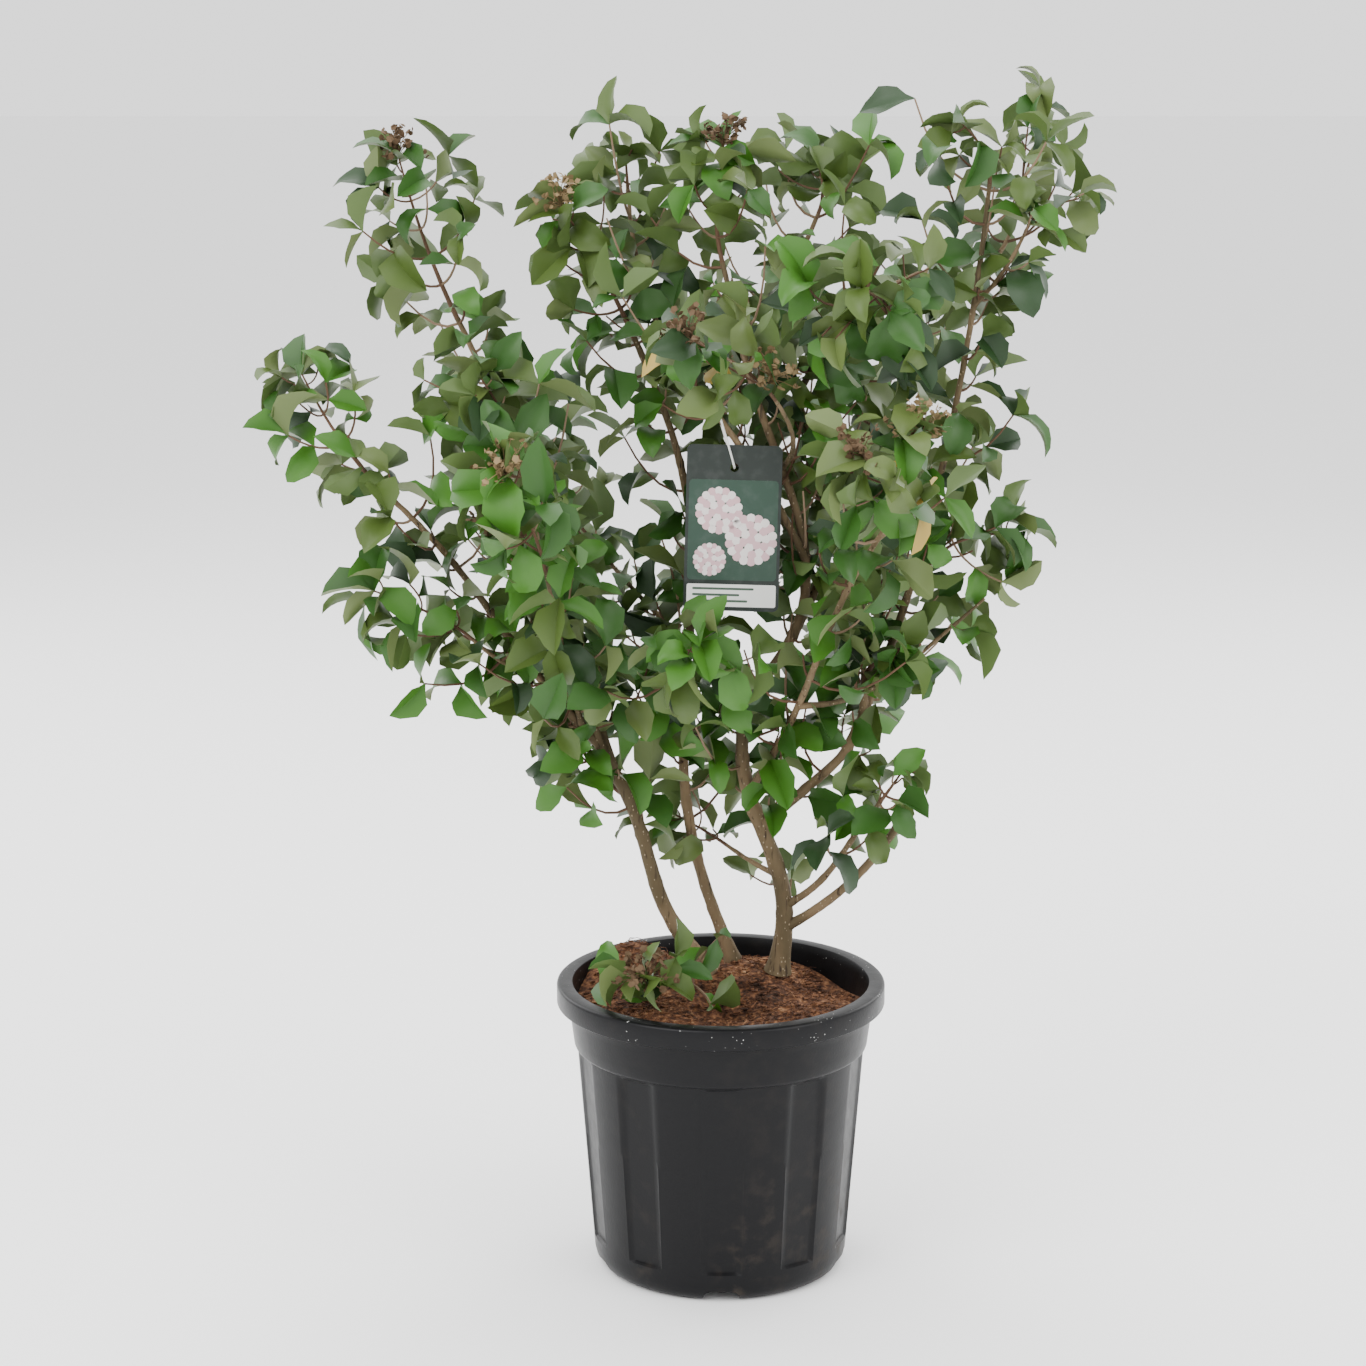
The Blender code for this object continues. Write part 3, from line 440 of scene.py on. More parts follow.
@dataclass(frozen=True)
class Bark:
    """Thin tan bark with darker streaks and pale lenticels."""

    tan: Colour = (0.185, 0.128, 0.070)
    olive: Colour = (0.085, 0.062, 0.031)
    shade: Colour = (0.035, 0.023, 0.014)
    lenticel: Colour = (0.32, 0.25, 0.16)

    def mix(self) -> bpy.types.Material:
        """Return the material."""
        recipe = Recipe("shrub_bark")
        streaks = recipe.grain(260.0, 7.0, (1.0, 1.0, 0.14))
        patches = recipe.step(recipe.grain(20.0, 5.0, (1.0, 1.0, 0.5)), 0.38, 0.64)
        spots = 1.0 - recipe.step(recipe.cells(250.0, (1.0, 1.0, 0.6)), 0.13, 0.21)
        colour = recipe.mix(patches, self.olive, self.tan)
        colour = recipe.mix(recipe.step(streaks, 0.56, 0.72), colour, self.shade)
        colour = recipe.mix(spots * 0.8, colour, self.lenticel)
        recipe.relief(streaks * 0.7 + spots * 0.5, 0.0006)
        return recipe.finish(colour, 0.70 + streaks * 0.2, 0.3)


@dataclass(frozen=True)
class TagPlastic:
    """Printed or moulded plastic of one colour with a fine handling wear."""

    name: str
    colour: Colour
    roughness: float = 0.30

    def mix(self) -> bpy.types.Material:
        """Return the material."""
        recipe = Recipe(self.name)
        wear = recipe.step(recipe.grain(90.0, 6.0), 0.45, 0.75)
        paler = tuple(part * 0.92 + 0.03 for part in self.colour)
        recipe.relief(recipe.grain(900.0, 1.0), 0.00004)
        return recipe.finish(recipe.mix(wear * 0.5, self.colour, paler), wear * 0.12 + self.roughness)


@dataclass(frozen=True)
class Floor:
    """A plain pale studio floor."""

    colour: Colour = (0.93, 0.93, 0.93)

    def mix(self) -> bpy.types.Material:
        """Return the material."""
        recipe = Recipe("pale_floor")
        return recipe.finish(self.colour, recipe.grain(3.0) * 0.1 + 0.6, 0.2)


class Tint(Enum):
    """The plain base colours that are dealt to leaves, twigs and dried heads."""

    OLIVE = (0.052, 0.090, 0.012)
    SAGE = (0.078, 0.115, 0.026)
    MID = (0.019, 0.073, 0.005)
    BRIGHT = (0.036, 0.125, 0.007)
    DARK = (0.011, 0.036, 0.007)
    YELLOWING = (0.330, 0.230, 0.040)
    UNDERSIDE = (0.072, 0.118, 0.028)
    PALE_UNDERSIDE = (0.115, 0.155, 0.050)
    TWIG = (0.105, 0.058, 0.034)
    PALE_TWIG = (0.200, 0.135, 0.085)
    DRIED = (0.095, 0.058, 0.030)
    DRIED_PALE = (0.200, 0.140, 0.068)

    @property
    def slot(self) -> int:
        """Return the tint's place among a foliage piece's materials."""
        return list(Tint).index(self)

    def mix(self) -> bpy.types.Material:
        """Return the tint's plain material."""
        woody = self in (Tint.TWIG, Tint.PALE_TWIG, Tint.DRIED, Tint.DRIED_PALE)
        recipe = Recipe(f"foliage_{self.name.lower()}")
        return recipe.finish(self.value, 0.8 if woody else 0.5, 0.25 if woody else 0.4)


def add_piece(
    name: str,
    bm: bmesh.types.BMesh,
    materials: Sequence[bpy.types.Material],
    nodes: Sequence[str] = (),
    crease: float = 40.0,
) -> bpy.types.Object:
    """Write a bmesh into a piece that rides on the frame.

    Args:
        name: The piece's name.
        bm: The finished mesh in the row frame, freed here.
        materials: The piece's materials, by face index.
        nodes: The CAD nodes that the piece stands for.
        crease: The angle in degrees past which an edge is sharp.

    Returns:
        The piece.
    """
    mesh = bpy.data.meshes.new(name)
    bm.to_mesh(mesh)
    bm.free()
    for material in materials:
        mesh.materials.append(material)
    mesh.polygons.foreach_set("use_smooth", [True] * len(mesh.polygons))
    mesh.set_sharp_from_angle(angle=math.radians(crease))
    piece = bpy.data.objects.new(name, mesh)
    bpy.context.scene.collection.objects.link(piece)
    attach(piece, "root")
    if nodes:
        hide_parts(*nodes)
    log.info("%s: %d faces", name, len(mesh.polygons))
    return piece


def faces_of(vertices: Sequence[bmesh.types.BMVert]) -> list:
    """Return the faces that some vertices belong to, each once."""
    return list(dict.fromkeys(face for vertex in vertices for face in vertex.link_faces))


def join(bm: bmesh.types.BMesh, part: bmesh.types.BMesh, slot: int) -> None:
    """Add a part to a mesh in one material, and free the part."""
    for face in part.faces:
        face.material_index = slot
    mesh = bpy.data.meshes.new("part")
    part.to_mesh(mesh)
    part.free()
    bm.from_mesh(mesh)
    bpy.data.meshes.remove(mesh)


def sweep(bm: bmesh.types.BMesh, path: Path, sides: int, slot: int = 0, closed: bool = False) -> list:
    """Sweep a tapering tube along a path.

    Args:
        bm: The mesh that the tube is added to.
        path: The centre line and its radii.
        sides: The number of sides.
        slot: The material index of the tube's faces.
        closed: Whether the path ends where it starts.

    Returns:
        The tube's vertices.
    """
    points = path.points + path.points[:1] if closed else path.points
    radii = path.radii + path.radii[:1] if closed else path.radii
    last = len(points) - 1
    normal = (points[1] - points[0]).orthogonal()
    placed = None
    made: list = []
    edges: list = []
    for index, (point, radius) in enumerate(zip(points, radii)):
        before = points[index - 1] if index else (points[-2] if closed else point)
        after = points[index + 1] if index < last else (points[1] if closed else point)
        along = (after - before).normalized()
        normal = (normal - along * normal.dot(along)).normalized()
        turn = Matrix((normal, along.cross(normal), along)).transposed().to_4x4()
        here = Matrix.Translation(point) @ turn @ Matrix.Scale(radius, 4)
        if index == 0:
            ring = bmesh.ops.create_circle(bm, cap_ends=False, segments=sides, radius=1.0, matrix=here)["verts"]
            edges = list({edge for vertex in ring for edge in vertex.link_edges})
            ends = [edges]
        else:
            grown = bmesh.ops.extrude_edge_only(bm, edges=edges)["geom"]
            ring = [part for part in grown if isinstance(part, bmesh.types.BMVert)]
            edges = [part for part in grown if isinstance(part, bmesh.types.BMEdge)]
            bmesh.ops.transform(bm, matrix=here @ placed.inverted(), verts=ring)
        placed = here
        made.extend(ring)
    if closed:
        bmesh.ops.remove_doubles(bm, verts=made, dist=WELD)
        made = [vertex for vertex in made if vertex.is_valid]
    else:
        for loop in (*ends, edges):
            bmesh.ops.edgeloop_fill(bm, edges=loop)
    tube = faces_of(made)
    for face in tube:
        face.material_index = slot
    bmesh.ops.recalc_face_normals(bm, faces=tube)
    return made


def turn_profile(outline: Sequence[tuple], steps: int) -> bmesh.types.BMesh:
    """Spin an outline of (radius, height) points about the Z axis.

    Args:
        outline: The points, from axis to axis.
        steps: The number of steps in the full turn.

    Returns:
        A closed mesh.
    """
    bm = bmesh.new()
    corners = [bm.verts.new((radius, 0.0, height)) for radius, height in outline]
    edges = [bm.edges.new(pair) for pair in zip(corners, corners[1:])]
    bmesh.ops.spin(
        bm, geom=corners + edges, cent=(0, 0, 0), axis=(0, 0, 1), dvec=(0, 0, 0), angle=math.tau, steps=steps,
        use_merge=True,
    )
    bmesh.ops.remove_doubles(bm, verts=bm.verts, dist=WELD)
    bmesh.ops.recalc_face_normals(bm, faces=bm.faces)
    return bm


def blend(start: float, end: float, share: float) -> float:
    """Return the value at a share of the way from start to end."""
    return start + (end - start) * share


@dataclass
class Pot:
    """The turned nursery pot with its flutes and drainage notches."""

    height: float = 0.295
    rim_radius: float = 0.165
    mouth_radius: float = 0.149
    rim_foot: float = 0.273
    collar_foot: tuple = (0.1475, 0.231)
    wall_top: tuple = (0.1445, 0.2285)
    wall_foot: tuple = (0.1285, 0.022)
    wall_thickness: float = 0.006
    floor: float = 0.016
    steps: int = 240
    wall_rows: int = 22
    flutes: int = 10
    flute_width: float = 0.0405
    flute_sink: float = 0.0036
    flute_foot: float = 0.030
    flute_edge: float = 0.0022
    notches: int = 5
    notch_size: tuple = (0.036, 0.060, 0.024)
    notch_corner: float = 0.008

    def inner_radius(self, height: float) -> float:
        """Return the radius of the inner wall at a height."""
        kink = self.wall_top[0] - self.wall_thickness
        if height >= self.wall_top[1]:
            share = (height - self.wall_top[1]) / (self.height - self.wall_top[1])
            return blend(kink, self.mouth_radius, share)
        low = self.wall_foot[0] - self.wall_thickness
        return blend(low, kink, (height - self.floor) / (self.wall_top[1] - self.floor))

    def outline(self) -> list:
        """Return the pot's turned outline with its rounded edges."""
        inner = [(self.inner_radius(z), z) for z in (0.018, 0.10, 0.17, 0.2285, 0.26, 0.285)]
        rim = [(0.1488, 0.2936), (0.1494, 0.2947), (0.1504, 0.295), (0.1612, 0.295), (0.1633, 0.2945)]
        rim += [(0.1645, 0.2934), (0.165, 0.2918), (0.165, 0.2752), (0.1646, 0.2740), (0.1634, 0.2732)]
        collar = [(0.1550, 0.2728), (0.1536, 0.2722), (0.1528, 0.2706)]
        shares = (0.25, 0.5, 0.75, 1.0)
        collar += [(blend(0.1528, 0.1478, share), blend(0.2706, 0.2325, share)) for share in shares]
        collar += [(0.1470, 0.2304), (0.1458, 0.2293), self.wall_top]
        ends = [self.wall_top[1] - 0.0012, self.wall_top[1] - 0.0034, self.flute_foot + 0.0022, self.flute_foot]
        rows = [blend(ends[1], ends[2], index / self.wall_rows) for index in range(1, self.wall_rows)]
        heights = sorted([*ends, *rows], reverse=True)
        (low, base), (high, peak) = self.wall_foot, self.wall_top
        wall = [(blend(low, high, (z - base) / (peak - base)), z) for z in heights]
        foot = [self.wall_foot, (0.1280, 0.016), (0.1265, 0.010), (0.1245, 0.0060), (0.1215, 0.0030)]
        foot += [(0.1170, 0.0008), (0.1135, 0.0), (0.060, 0.0), (0.0, 0.0)]
        return [(0.0, self.floor), (0.1205, self.floor), *inner, *rim, *collar, *wall, *foot]

    def press_flutes(self, bm: bmesh.types.BMesh) -> None:
        """Press the flat upright flutes into the outer wall."""
        pitch = math.tau / self.flutes
        for vertex in bm.verts:
            x, y, z = vertex.co
            across = math.hypot(x, y)
            if not self.flute_foot < z < self.wall_top[1] - 0.0008 or across < self.inner_radius(z) + 0.003:
                continue
            angle = (math.atan2(x, -y) + pitch / 2) % pitch - pitch / 2
            aside = abs(across * math.sin(angle))
            edge = min(max((self.flute_width / 2 - aside) / self.flute_edge, 0.0), 1.0)
            end = min((z - self.flute_foot) / 0.002, (self.wall_top[1] - 0.0008 - z) / 0.002, 1.0)
            depth = (self.flute_sink - (across - math.sqrt(across ** 2 - aside ** 2))) * edge * max(end, 0.0)
            reach = (across - max(depth, 0.0)) / across
            vertex.co.x *= reach
            vertex.co.y *= reach

    def cut_notches(self, pot: bpy.types.Object) -> None:
        """Open the rounded drainage notches in the pot's foot."""
        bm = bmesh.new()
        for index in range(self.notches):
            turn = Matrix.Rotation(math.tau * index / self.notches, 4, "Z")
            place = Matrix.Translation((0.0, -self.wall_foot[0], 0.0))
            bmesh.ops.create_cube(bm, size=1.0, matrix=turn @ place @ Matrix.Diagonal((*self.notch_size, 1.0)))
        ridges = [edge for edge in bm.edges if edge.calc_length() > self.notch_size[1] - WELD]
        bmesh.ops.bevel(
            bm, geom=ridges, offset=self.notch_corner, segments=5, profile=0.5, affect="EDGES", material=-1
        )
        mesh = bpy.data.meshes.new("notch_cutter")
        bm.to_mesh(mesh)
        bm.free()
        cutter = bpy.data.objects.new("notch_cutter", mesh)
        bpy.context.scene.collection.objects.link(cutter)
        cut = pot.modifiers.new("notches", "BOOLEAN")
        cut.operation = "DIFFERENCE"
        cut.object = cutter
        evaluated = pot.evaluated_get(bpy.context.evaluated_depsgraph_get())
        pot.data = bpy.data.meshes.new_from_object(evaluated)
        pot.modifiers.clear()
        bpy.data.objects.remove(cutter, do_unlink=True)

    def build(self, plastic: bpy.types.Material) -> bpy.types.Object:
        """Build the pot."""
        bm = turn_profile(self.outline(), self.steps)
        self.press_flutes(bm)
        pot = add_piece("nursery_pot", bm, [plastic], ["pot"], crease=35.0)
        self.cut_notches(pot)
        return pot


@dataclass
class Mulch:
    """The heaped coir mulch: a rough bed, loose chips and loose fibres."""

    pot: Pot
    level: float = 0.274
    gap: float = 0.0006
    rings: int = 52
    steps: int = 150
    chips: int = 1100
    fibres: int = 620
    mounds: tuple = (
        (-0.090, 0.080, 0.034, 0.045),
        (0.030, 0.070, 0.014, 0.050),
        (0.000, -0.040, -0.018, 0.030),
        (0.120, 0.060, -0.012, 0.050),
        (-0.060, -0.090, 0.012, 0.050),
    )

    def surface(self, x: float, y: float) -> float:
        """Return the height of the mulch at a place."""
        height = self.level
        for mound_x, mound_y, rise, spread in self.mounds:
            height += rise * math.exp(-((x - mound_x) ** 2 + (y - mound_y) ** 2) / spread ** 2)
        return height

    def bed(self) -> bmesh.types.BMesh:
        """Return the closed body of mulch with its lumpy top."""
        edge = self.pot.inner_radius(self.level) - self.gap
        floor = self.pot.floor + self.gap
        outline = [(edge * ring / self.rings, self.level) for ring in range(self.rings + 1)]
        outline += [(self.pot.inner_radius(z) - self.gap, z) for z in (self.pot.wall_top[1], floor)]
        bm = turn_profile([*outline, (0.0, floor)], self.steps)
        for vertex in bm.verts:
            if vertex.co.z < self.pot.wall_top[1] + WELD:
                continue
            x, y, _ = vertex.co
            across = math.hypot(x, y)
            inside = min((edge - across) / 0.006, 1.0)
            lumps = noise.noise(Vector((x, y, 0.0)) * 70.0) * 0.0030
            grit = noise.noise(Vector((x, y, 3.0)) * 210.0) * 0.0016
            vertex.co.z = self.surface(x, y) + (lumps + grit) * inside
            if inside < 0.01:
                reach = (self.pot.inner_radius(min(vertex.co.z, self.pot.height)) - self.gap) / across
                vertex.co.x *= reach
                vertex.co.y *= reach
        return bm

    def spots(self, count: int, rng: random.Random) -> Iterator[Vector]:
        """Yield random places on the mulch."""
        for _ in range(count):
            across = 0.137 * math.sqrt(rng.random())
            angle = rng.uniform(0.0, math.tau)
            x, y = across * math.cos(angle), across * math.sin(angle)
            yield Vector((x, y, self.surface(x, y) + rng.uniform(0.0, 0.0025)))

    def chip_mesh(self, rng: random.Random) -> bmesh.types.BMesh:
        """Return the loose husk chips as one mesh."""
        bm = bmesh.new()
        for spot in self.spots(self.chips, rng):
            size = (rng.uniform(0.002, 0.009), rng.uniform(0.0015, 0.004), rng.uniform(0.0006, 0.0018))
            spin = Matrix.Rotation(rng.uniform(0.0, math.tau), 4, "Z")
            tilt = Matrix.Rotation(rng.gauss(0.0, 0.4), 4, "X")
            place = Matrix.Translation(spot) @ spin @ tilt @ Matrix.Diagonal((*size, 1.0))
            bmesh.ops.create_cube(bm, size=1.0, matrix=place)
        for vertex in bm.verts:
            vertex.co += noise.noise_vector(vertex.co * 400.0) * 0.0006
        return bm

    def fibre_mesh(self, rng: random.Random) -> bmesh.types.BMesh:
        """Return the loose coir fibres as one mesh."""
        bm = bmesh.new()
        for spot in self.spots(self.fibres, rng):
            angle = rng.uniform(0.0, math.tau)
            run = Vector((math.cos(angle), math.sin(angle), rng.uniform(-0.1, 0.35)))
            run *= rng.uniform(0.006, 0.022)
            bend = Vector((-run.y, run.x, 0.0)) * rng.uniform(-0.4, 0.4) + UP * rng.uniform(0.0, 0.003)
            points = [spot + run * (t - 0.5) + bend * (4.0 * t * (1.0 - t)) for t in (0.0, 0.33, 0.67, 1.0)]
            if all(math.hypot(point.x, point.y) < 0.141 for point in points):
                sweep(bm, Path(points, [rng.uniform(0.0002, 0.0005)] * 4), 3)
        return bm

    def build(self, coir: bpy.types.Material) -> None:
        """Build the bed, the chips and the fibres."""
        rng = random.Random("mulch")
        add_piece("mulch_bed", self.bed(), [coir], ["soil"], crease=70.0)
        add_piece("mulch_chips", self.chip_mesh(rng), [coir])
        add_piece("mulch_fibres", self.fibre_mesh(rng), [coir])


def along_path(path: Path, share: float) -> tuple:
    """Return the place, the direction and the radius at a share of a path."""
    spans = [(end - start).length for start, end in zip(path.points, path.points[1:])]
    left = share * sum(spans)
    for index, span in enumerate(spans):
        if left <= span or index == len(spans) - 1:
            break
        left -= span
    start, end = path.points[index], path.points[index + 1]
    part = min(left / spans[index], 1.0)
    radius = blend(path.radii[index], path.radii[index + 1], part)
    return start.lerp(end, part), (end - start).normalized(), radius


@dataclass
class Framework:
    """The trunks and limbs, as tubes with collars, leaf scars and bark relief."""

    step: float = 0.006
    flare_length: float = 0.018
    flare_girth: float = 0.6
    collar_length: float = 0.009
    collar_girth: float = 0.45
    scar_spacing: float = 0.058
    scar_girth: float = 0.14
    scar_length: float = 0.0028
    relief: float = 0.00045
    paths: dict = field(default_factory=dict)

    def line_of(self, limb: Limb, step: float, paths: dict) -> Path:
        """Work out a limb's centre line from its foot, its tip and its bends.

        Args:
            limb: The limb's row.
            step: The distance between its points.
            paths: The lines of the limbs before it.

        Returns:
            The limb's path, with plain tapering radii.
        """
        tip, bow, sway = Vector(limb.tip), Vector(limb.bow), Vector(limb.sway)
        if limb.parent:
            foot = along_path(paths[limb.parent], limb.foot)[0]
        else:
            foot = Vector((*limb.foot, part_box(limb.name)[0][2]))
        count = max(3, round((tip - foot).length / step))
        shares = [index / count for index in range(count + 1)]
        points = [
            foot.lerp(tip, t) + bow * 4 * t * (1 - t) + sway * math.sin(math.tau * t)
            for t in shares
        ]
        return Path(points, [blend(*limb.girth, t) / 1000 for t in shares])

    def swell(self, limb: Limb, path: Path) -> Path:
        """Thicken a limb at its foot and at its leaf scars."""
        radii = []
        for index, radius in enumerate(path.radii):
            run = index * self.step
            girth, length = self.collar_girth, self.collar_length
            if not limb.parent:
                girth, length = self.flare_girth, self.flare_length
            if limb.foot == 1.0:
                girth = 0.0
            scar = (run + self.scar_spacing / 2) % self.scar_spacing - self.scar_spacing / 2
            bulge = self.scar_girth * math.exp(-(scar / self.scar_length) ** 2) if run > 0.03 else 0.0
            radii.append(radius * (1.0 + girth * math.exp(-run / length) + bulge))
        return Path(path.points, radii)

    def build(self, bark: bpy.types.Material) -> None:
        """Build every trunk and limb as one piece."""
        bm = bmesh.new()
        for limb in LIMBS:
            path = self.line_of(limb, self.step, self.paths)
            self.paths[limb.name] = path
            sweep(bm, self.swell(limb, path), 14 if limb.girth[0] > 5.0 else 10)
        bm.normal_update()
        moves = []
        for vertex in bm.verts:
            place = Vector((vertex.co.x * 170.0, vertex.co.y * 170.0, vertex.co.z * 45.0))
            moves.append(vertex.normal * noise.fractal(place, 1.0, 2.0, 3) * self.relief)
        for vertex, move in zip(bm.verts, moves):
            vertex.co += move
        add_piece("trunks_and_limbs", bm, [bark], [limb.name for limb in LIMBS], crease=60.0)


@dataclass
class PlantTag:
    """The hanging tag with a generic printed design, and its strap."""

    width: float = 0.093
    height: float = 0.162
    thickness: float = 0.0014
    corner: float = 0.006
    hole_radius: float = 0.0042
    hole_drop: float = 0.022
    lean: float = math.radians(5.0)
    roll: float = math.radians(-1.5)
    hang: float = 0.37
    offset: Vector = field(default_factory=lambda: Vector((0.013, -0.010, -0.043)))
    strap_radius: float = 0.0011
    strap_over: float = 0.021
    strap_room: float = 0.0115
    strap_points: int = 48
    limb_step: float = 0.070

    def anchor(self, framework: Framework) -> tuple:
        """Return where the strap hangs and where the tag's hole is."""
        lines: dict = {}
        for limb in LIMBS:
            lines[limb.name] = framework.line_of(limb, self.limb_step, lines)
        hang = along_path(lines["centre_top"], self.hang)[0]
        return hang, hang + self.offset

    def panel(self, bm: bmesh.types.BMesh, low: tuple, high: tuple, corner: float, depth: tuple, slot: int) -> None:
        """Add a rounded panel of the tag.

        Args:
            bm: The tag's mesh, in its own plane, its hole at the origin.
            low: The panel's lower left corner.
            high: The panel's upper right corner.
            corner: The radius of its corners.
            depth: Its back and its front face.
            slot: Its material index.
        """
        size = (high[0] - low[0], high[1] - low[1], depth[1] - depth[0])
        middle = ((low[0] + high[0]) / 2, (low[1] + high[1]) / 2, (depth[0] + depth[1]) / 2)
        part = bmesh.new()
        bmesh.ops.create_cube(part, size=1.0, matrix=Matrix.Translation(middle) @ Matrix.Diagonal((*size, 1.0)))
        upright = [edge for edge in part.edges if abs(edge.verts[0].co.z - edge.verts[1].co.z) > size[2] / 2]
        bmesh.ops.bevel(part, geom=upright, offset=corner, segments=6, profile=0.5, affect="EDGES", material=-1)
        join(bm, part, slot)

    def blossom(self, bm: bmesh.types.BMesh, x: float, y: float, size: float, front: float, slot: int) -> None:
        """Add a plain round head of overlapping discs to the print."""
        for ring, (count, reach) in enumerate(((1, 0.0), (6, 0.34), (12, 0.66), (18, 0.96))):
            for index in range(count):
                angle = math.tau * index / count + ring * 0.3
                spot = Vector((x + size * reach * math.cos(angle), y + size * reach * math.sin(angle), front))
                disc = bmesh.ops.create_cone(
                    bm, cap_ends=True, segments=10, radius1=size * 0.21, radius2=size * 0.18,
                    depth=0.0001, matrix=Matrix.Translation(spot - UP * 0.00002 * (ring + index % 2)),
                )
                for face in faces_of(disc["verts"]):
                    face.material_index = slot if (index + ring) % 2 else slot + 1

    def card(self) -> bmesh.types.BMesh:
        """Return the bare card in its own plane, its hole's place at the origin."""
        bm = bmesh.new()
        half, front = self.width / 2, self.thickness / 2
        foot = self.hole_drop - self.height
        self.panel(bm, (-half, foot), (half, self.hole_drop), self.corner, (-front, front), 0)
        return bm

    def printing(self) -> bmesh.types.BMesh:
        """Return the print's thin layers: a field, a strip, bars and flower heads."""
        bm = bmesh.new()
        half, front = self.width / 2, self.thickness / 2
        left, right = -half + 0.003, half - 0.003
        foot = self.hole_drop - self.height
        layer = (front, front + 0.00012)
        self.panel(bm, (left, foot + 0.030), (right, -0.012), 0.004, layer, 0)
        self.panel(bm, (left, foot + 0.004), (right, foot + 0.026), 0.002, layer, 1)
        for index, length in enumerate((0.060, 0.046, 0.054)):
            low = foot + 0.0205 - index * 0.006
            self.panel(bm, (-0.038, low), (-0.038 + length, low + 0.0022), 0.0008, (front, front + 0.0002), 2)
        for x, y, size in ((-0.014, -0.042, 0.020), (0.018, -0.070, 0.022), (-0.022, -0.090, 0.014)):
            self.blossom(bm, x, y, size, front + 0.00026, 3)
        return bm

    def pierce(self, tag: bpy.types.Object, matrix: Matrix) -> None:
        """Punch the strap's hole through the tag."""
        bm = bmesh.new()
        bmesh.ops.create_cone(
            bm, cap_ends=True, segments=32, radius1=self.hole_radius, radius2=self.hole_radius, depth=0.02,
            matrix=matrix,
        )
        mesh = bpy.data.meshes.new("tag_punch")
        bm.to_mesh(mesh)
        bm.free()
        punch = bpy.data.objects.new("tag_punch", mesh)
        bpy.context.scene.collection.objects.link(punch)
        cut = tag.modifiers.new("hole", "BOOLEAN")
        cut.operation = "DIFFERENCE"
        cut.object = punch
        evaluated = tag.evaluated_get(bpy.context.evaluated_depsgraph_get())
        tag.data = bpy.data.meshes.new_from_object(evaluated)
        tag.modifiers.clear()
        bpy.data.objects.remove(punch, do_unlink=True)

    def build(self, framework: Framework) -> None:
        """Build the tag and its strap."""
        hang, hole = self.anchor(framework)
        upright = Matrix.Rotation(math.pi / 2 - self.lean, 4, "X") @ Matrix.Rotation(self.roll, 4, "Z")
        matrix = Matrix.Translation(hole) @ upright
        card, layers = self.card(), self.printing()
        card.transform(matrix)
        layers.transform(matrix)
        dark = TagPlastic("tag_card", (0.006, 0.013, 0.009)).mix()
        prints = [
            TagPlastic("tag_field", (0.016, 0.050, 0.030)),
            TagPlastic("tag_strip", (0.78, 0.78, 0.75)),
            TagPlastic("tag_bars", (0.05, 0.09, 0.06)),
            TagPlastic("tag_petals", (0.80, 0.74, 0.72)),
            TagPlastic("tag_petals_pink", (0.66, 0.42, 0.45)),
        ]
        materials = [finish.mix() for finish in prints]
        self.pierce(add_piece("plant_tag", card, [dark], ["label"], crease=30.0), matrix)
        add_piece("tag_print", layers, materials, crease=30.0)
        down = (hole - hang).normalized()
        top = hang - down * self.strap_over
        across = down.cross(Vector((1.0, 0.0, 0.0))).normalized()
        middle, reach = (top + hole) / 2, (hole - top).length / 2
        loop = []
        for index in range(self.strap_points):
            angle = math.tau * index / self.strap_points
            loop.append(middle + down * reach * math.cos(angle) + across * self.strap_room * math.sin(angle))
        bm = bmesh.new()
        sweep(bm, Path(loop, [self.strap_radius] * self.strap_points), 10, closed=True)
        white = TagPlastic("strap_white", (0.80, 0.80, 0.77), 0.35).mix()
        add_piece("tag_strap", bm, [white], ["label_strap"])


class Space:
    """The ellipsoid that a mass fills, cut back where neighbours begin."""

    margin = 0.0005
    looseness = 1.16

    def __init__(self, mass: Mass) -> None:
        """Find the planes between this mass and every other."""
        self.centre = Vector(mass.centre)
        self.radii = Vector(mass.radii)
        self.planes = []
        for other in MASSES:
            if other.name == mass.name:
                continue
            apart = Vector(other.centre) - self.centre
            toward = apart.normalized()
            own = self.half_width(toward, mass.radii)
            share = own / (own + self.half_width(toward, other.radii))
            self.planes.append((self.centre + apart * share, toward))

    @staticmethod
    def half_width(toward: Vector, radii: Sequence[float]) -> float:
        """Return how far an ellipsoid reaches in a direction."""
        return math.sqrt(sum((part * radius) ** 2 for part, radius in zip(toward, radii)))

    def owns(self, place: Vector) -> bool:
        """Tell whether a place is on this mass's side of every plane."""
        return all((place - point).dot(toward) < -self.margin for point, toward in self.planes)

    def holds(self, place: Vector) -> bool:
        """Tell whether a place is owned and at most a little outside the ellipsoid."""
        offset = place - self.centre
        reach = sum((part / radius) ** 2 for part, radius in zip(offset, self.radii))
        return reach < self.looseness ** 2 and self.owns(place)

    def spares(self, middle: Vector) -> bool:
        """Tell that a leaf's middle is always left free: the limbs' own leaves keep out of the masses."""
        return True

    def exit_length(self, start: Vector, heading: Vector) -> float:
        """Return the distance from a start to the ellipsoid's far side."""
        scaled_start = Vector([part / radius for part, radius in zip(start - self.centre, self.radii)])
        scaled_heading = Vector([part / radius for part, radius in zip(heading, self.radii)])
        a = scaled_heading.dot(scaled_heading)
        b = scaled_start.dot(scaled_heading)
        c = scaled_start.dot(scaled_start) - 1.0
        inside = b * b - a * c
        return (-b + math.sqrt(inside)) / a if inside > 0.0 else 0.0


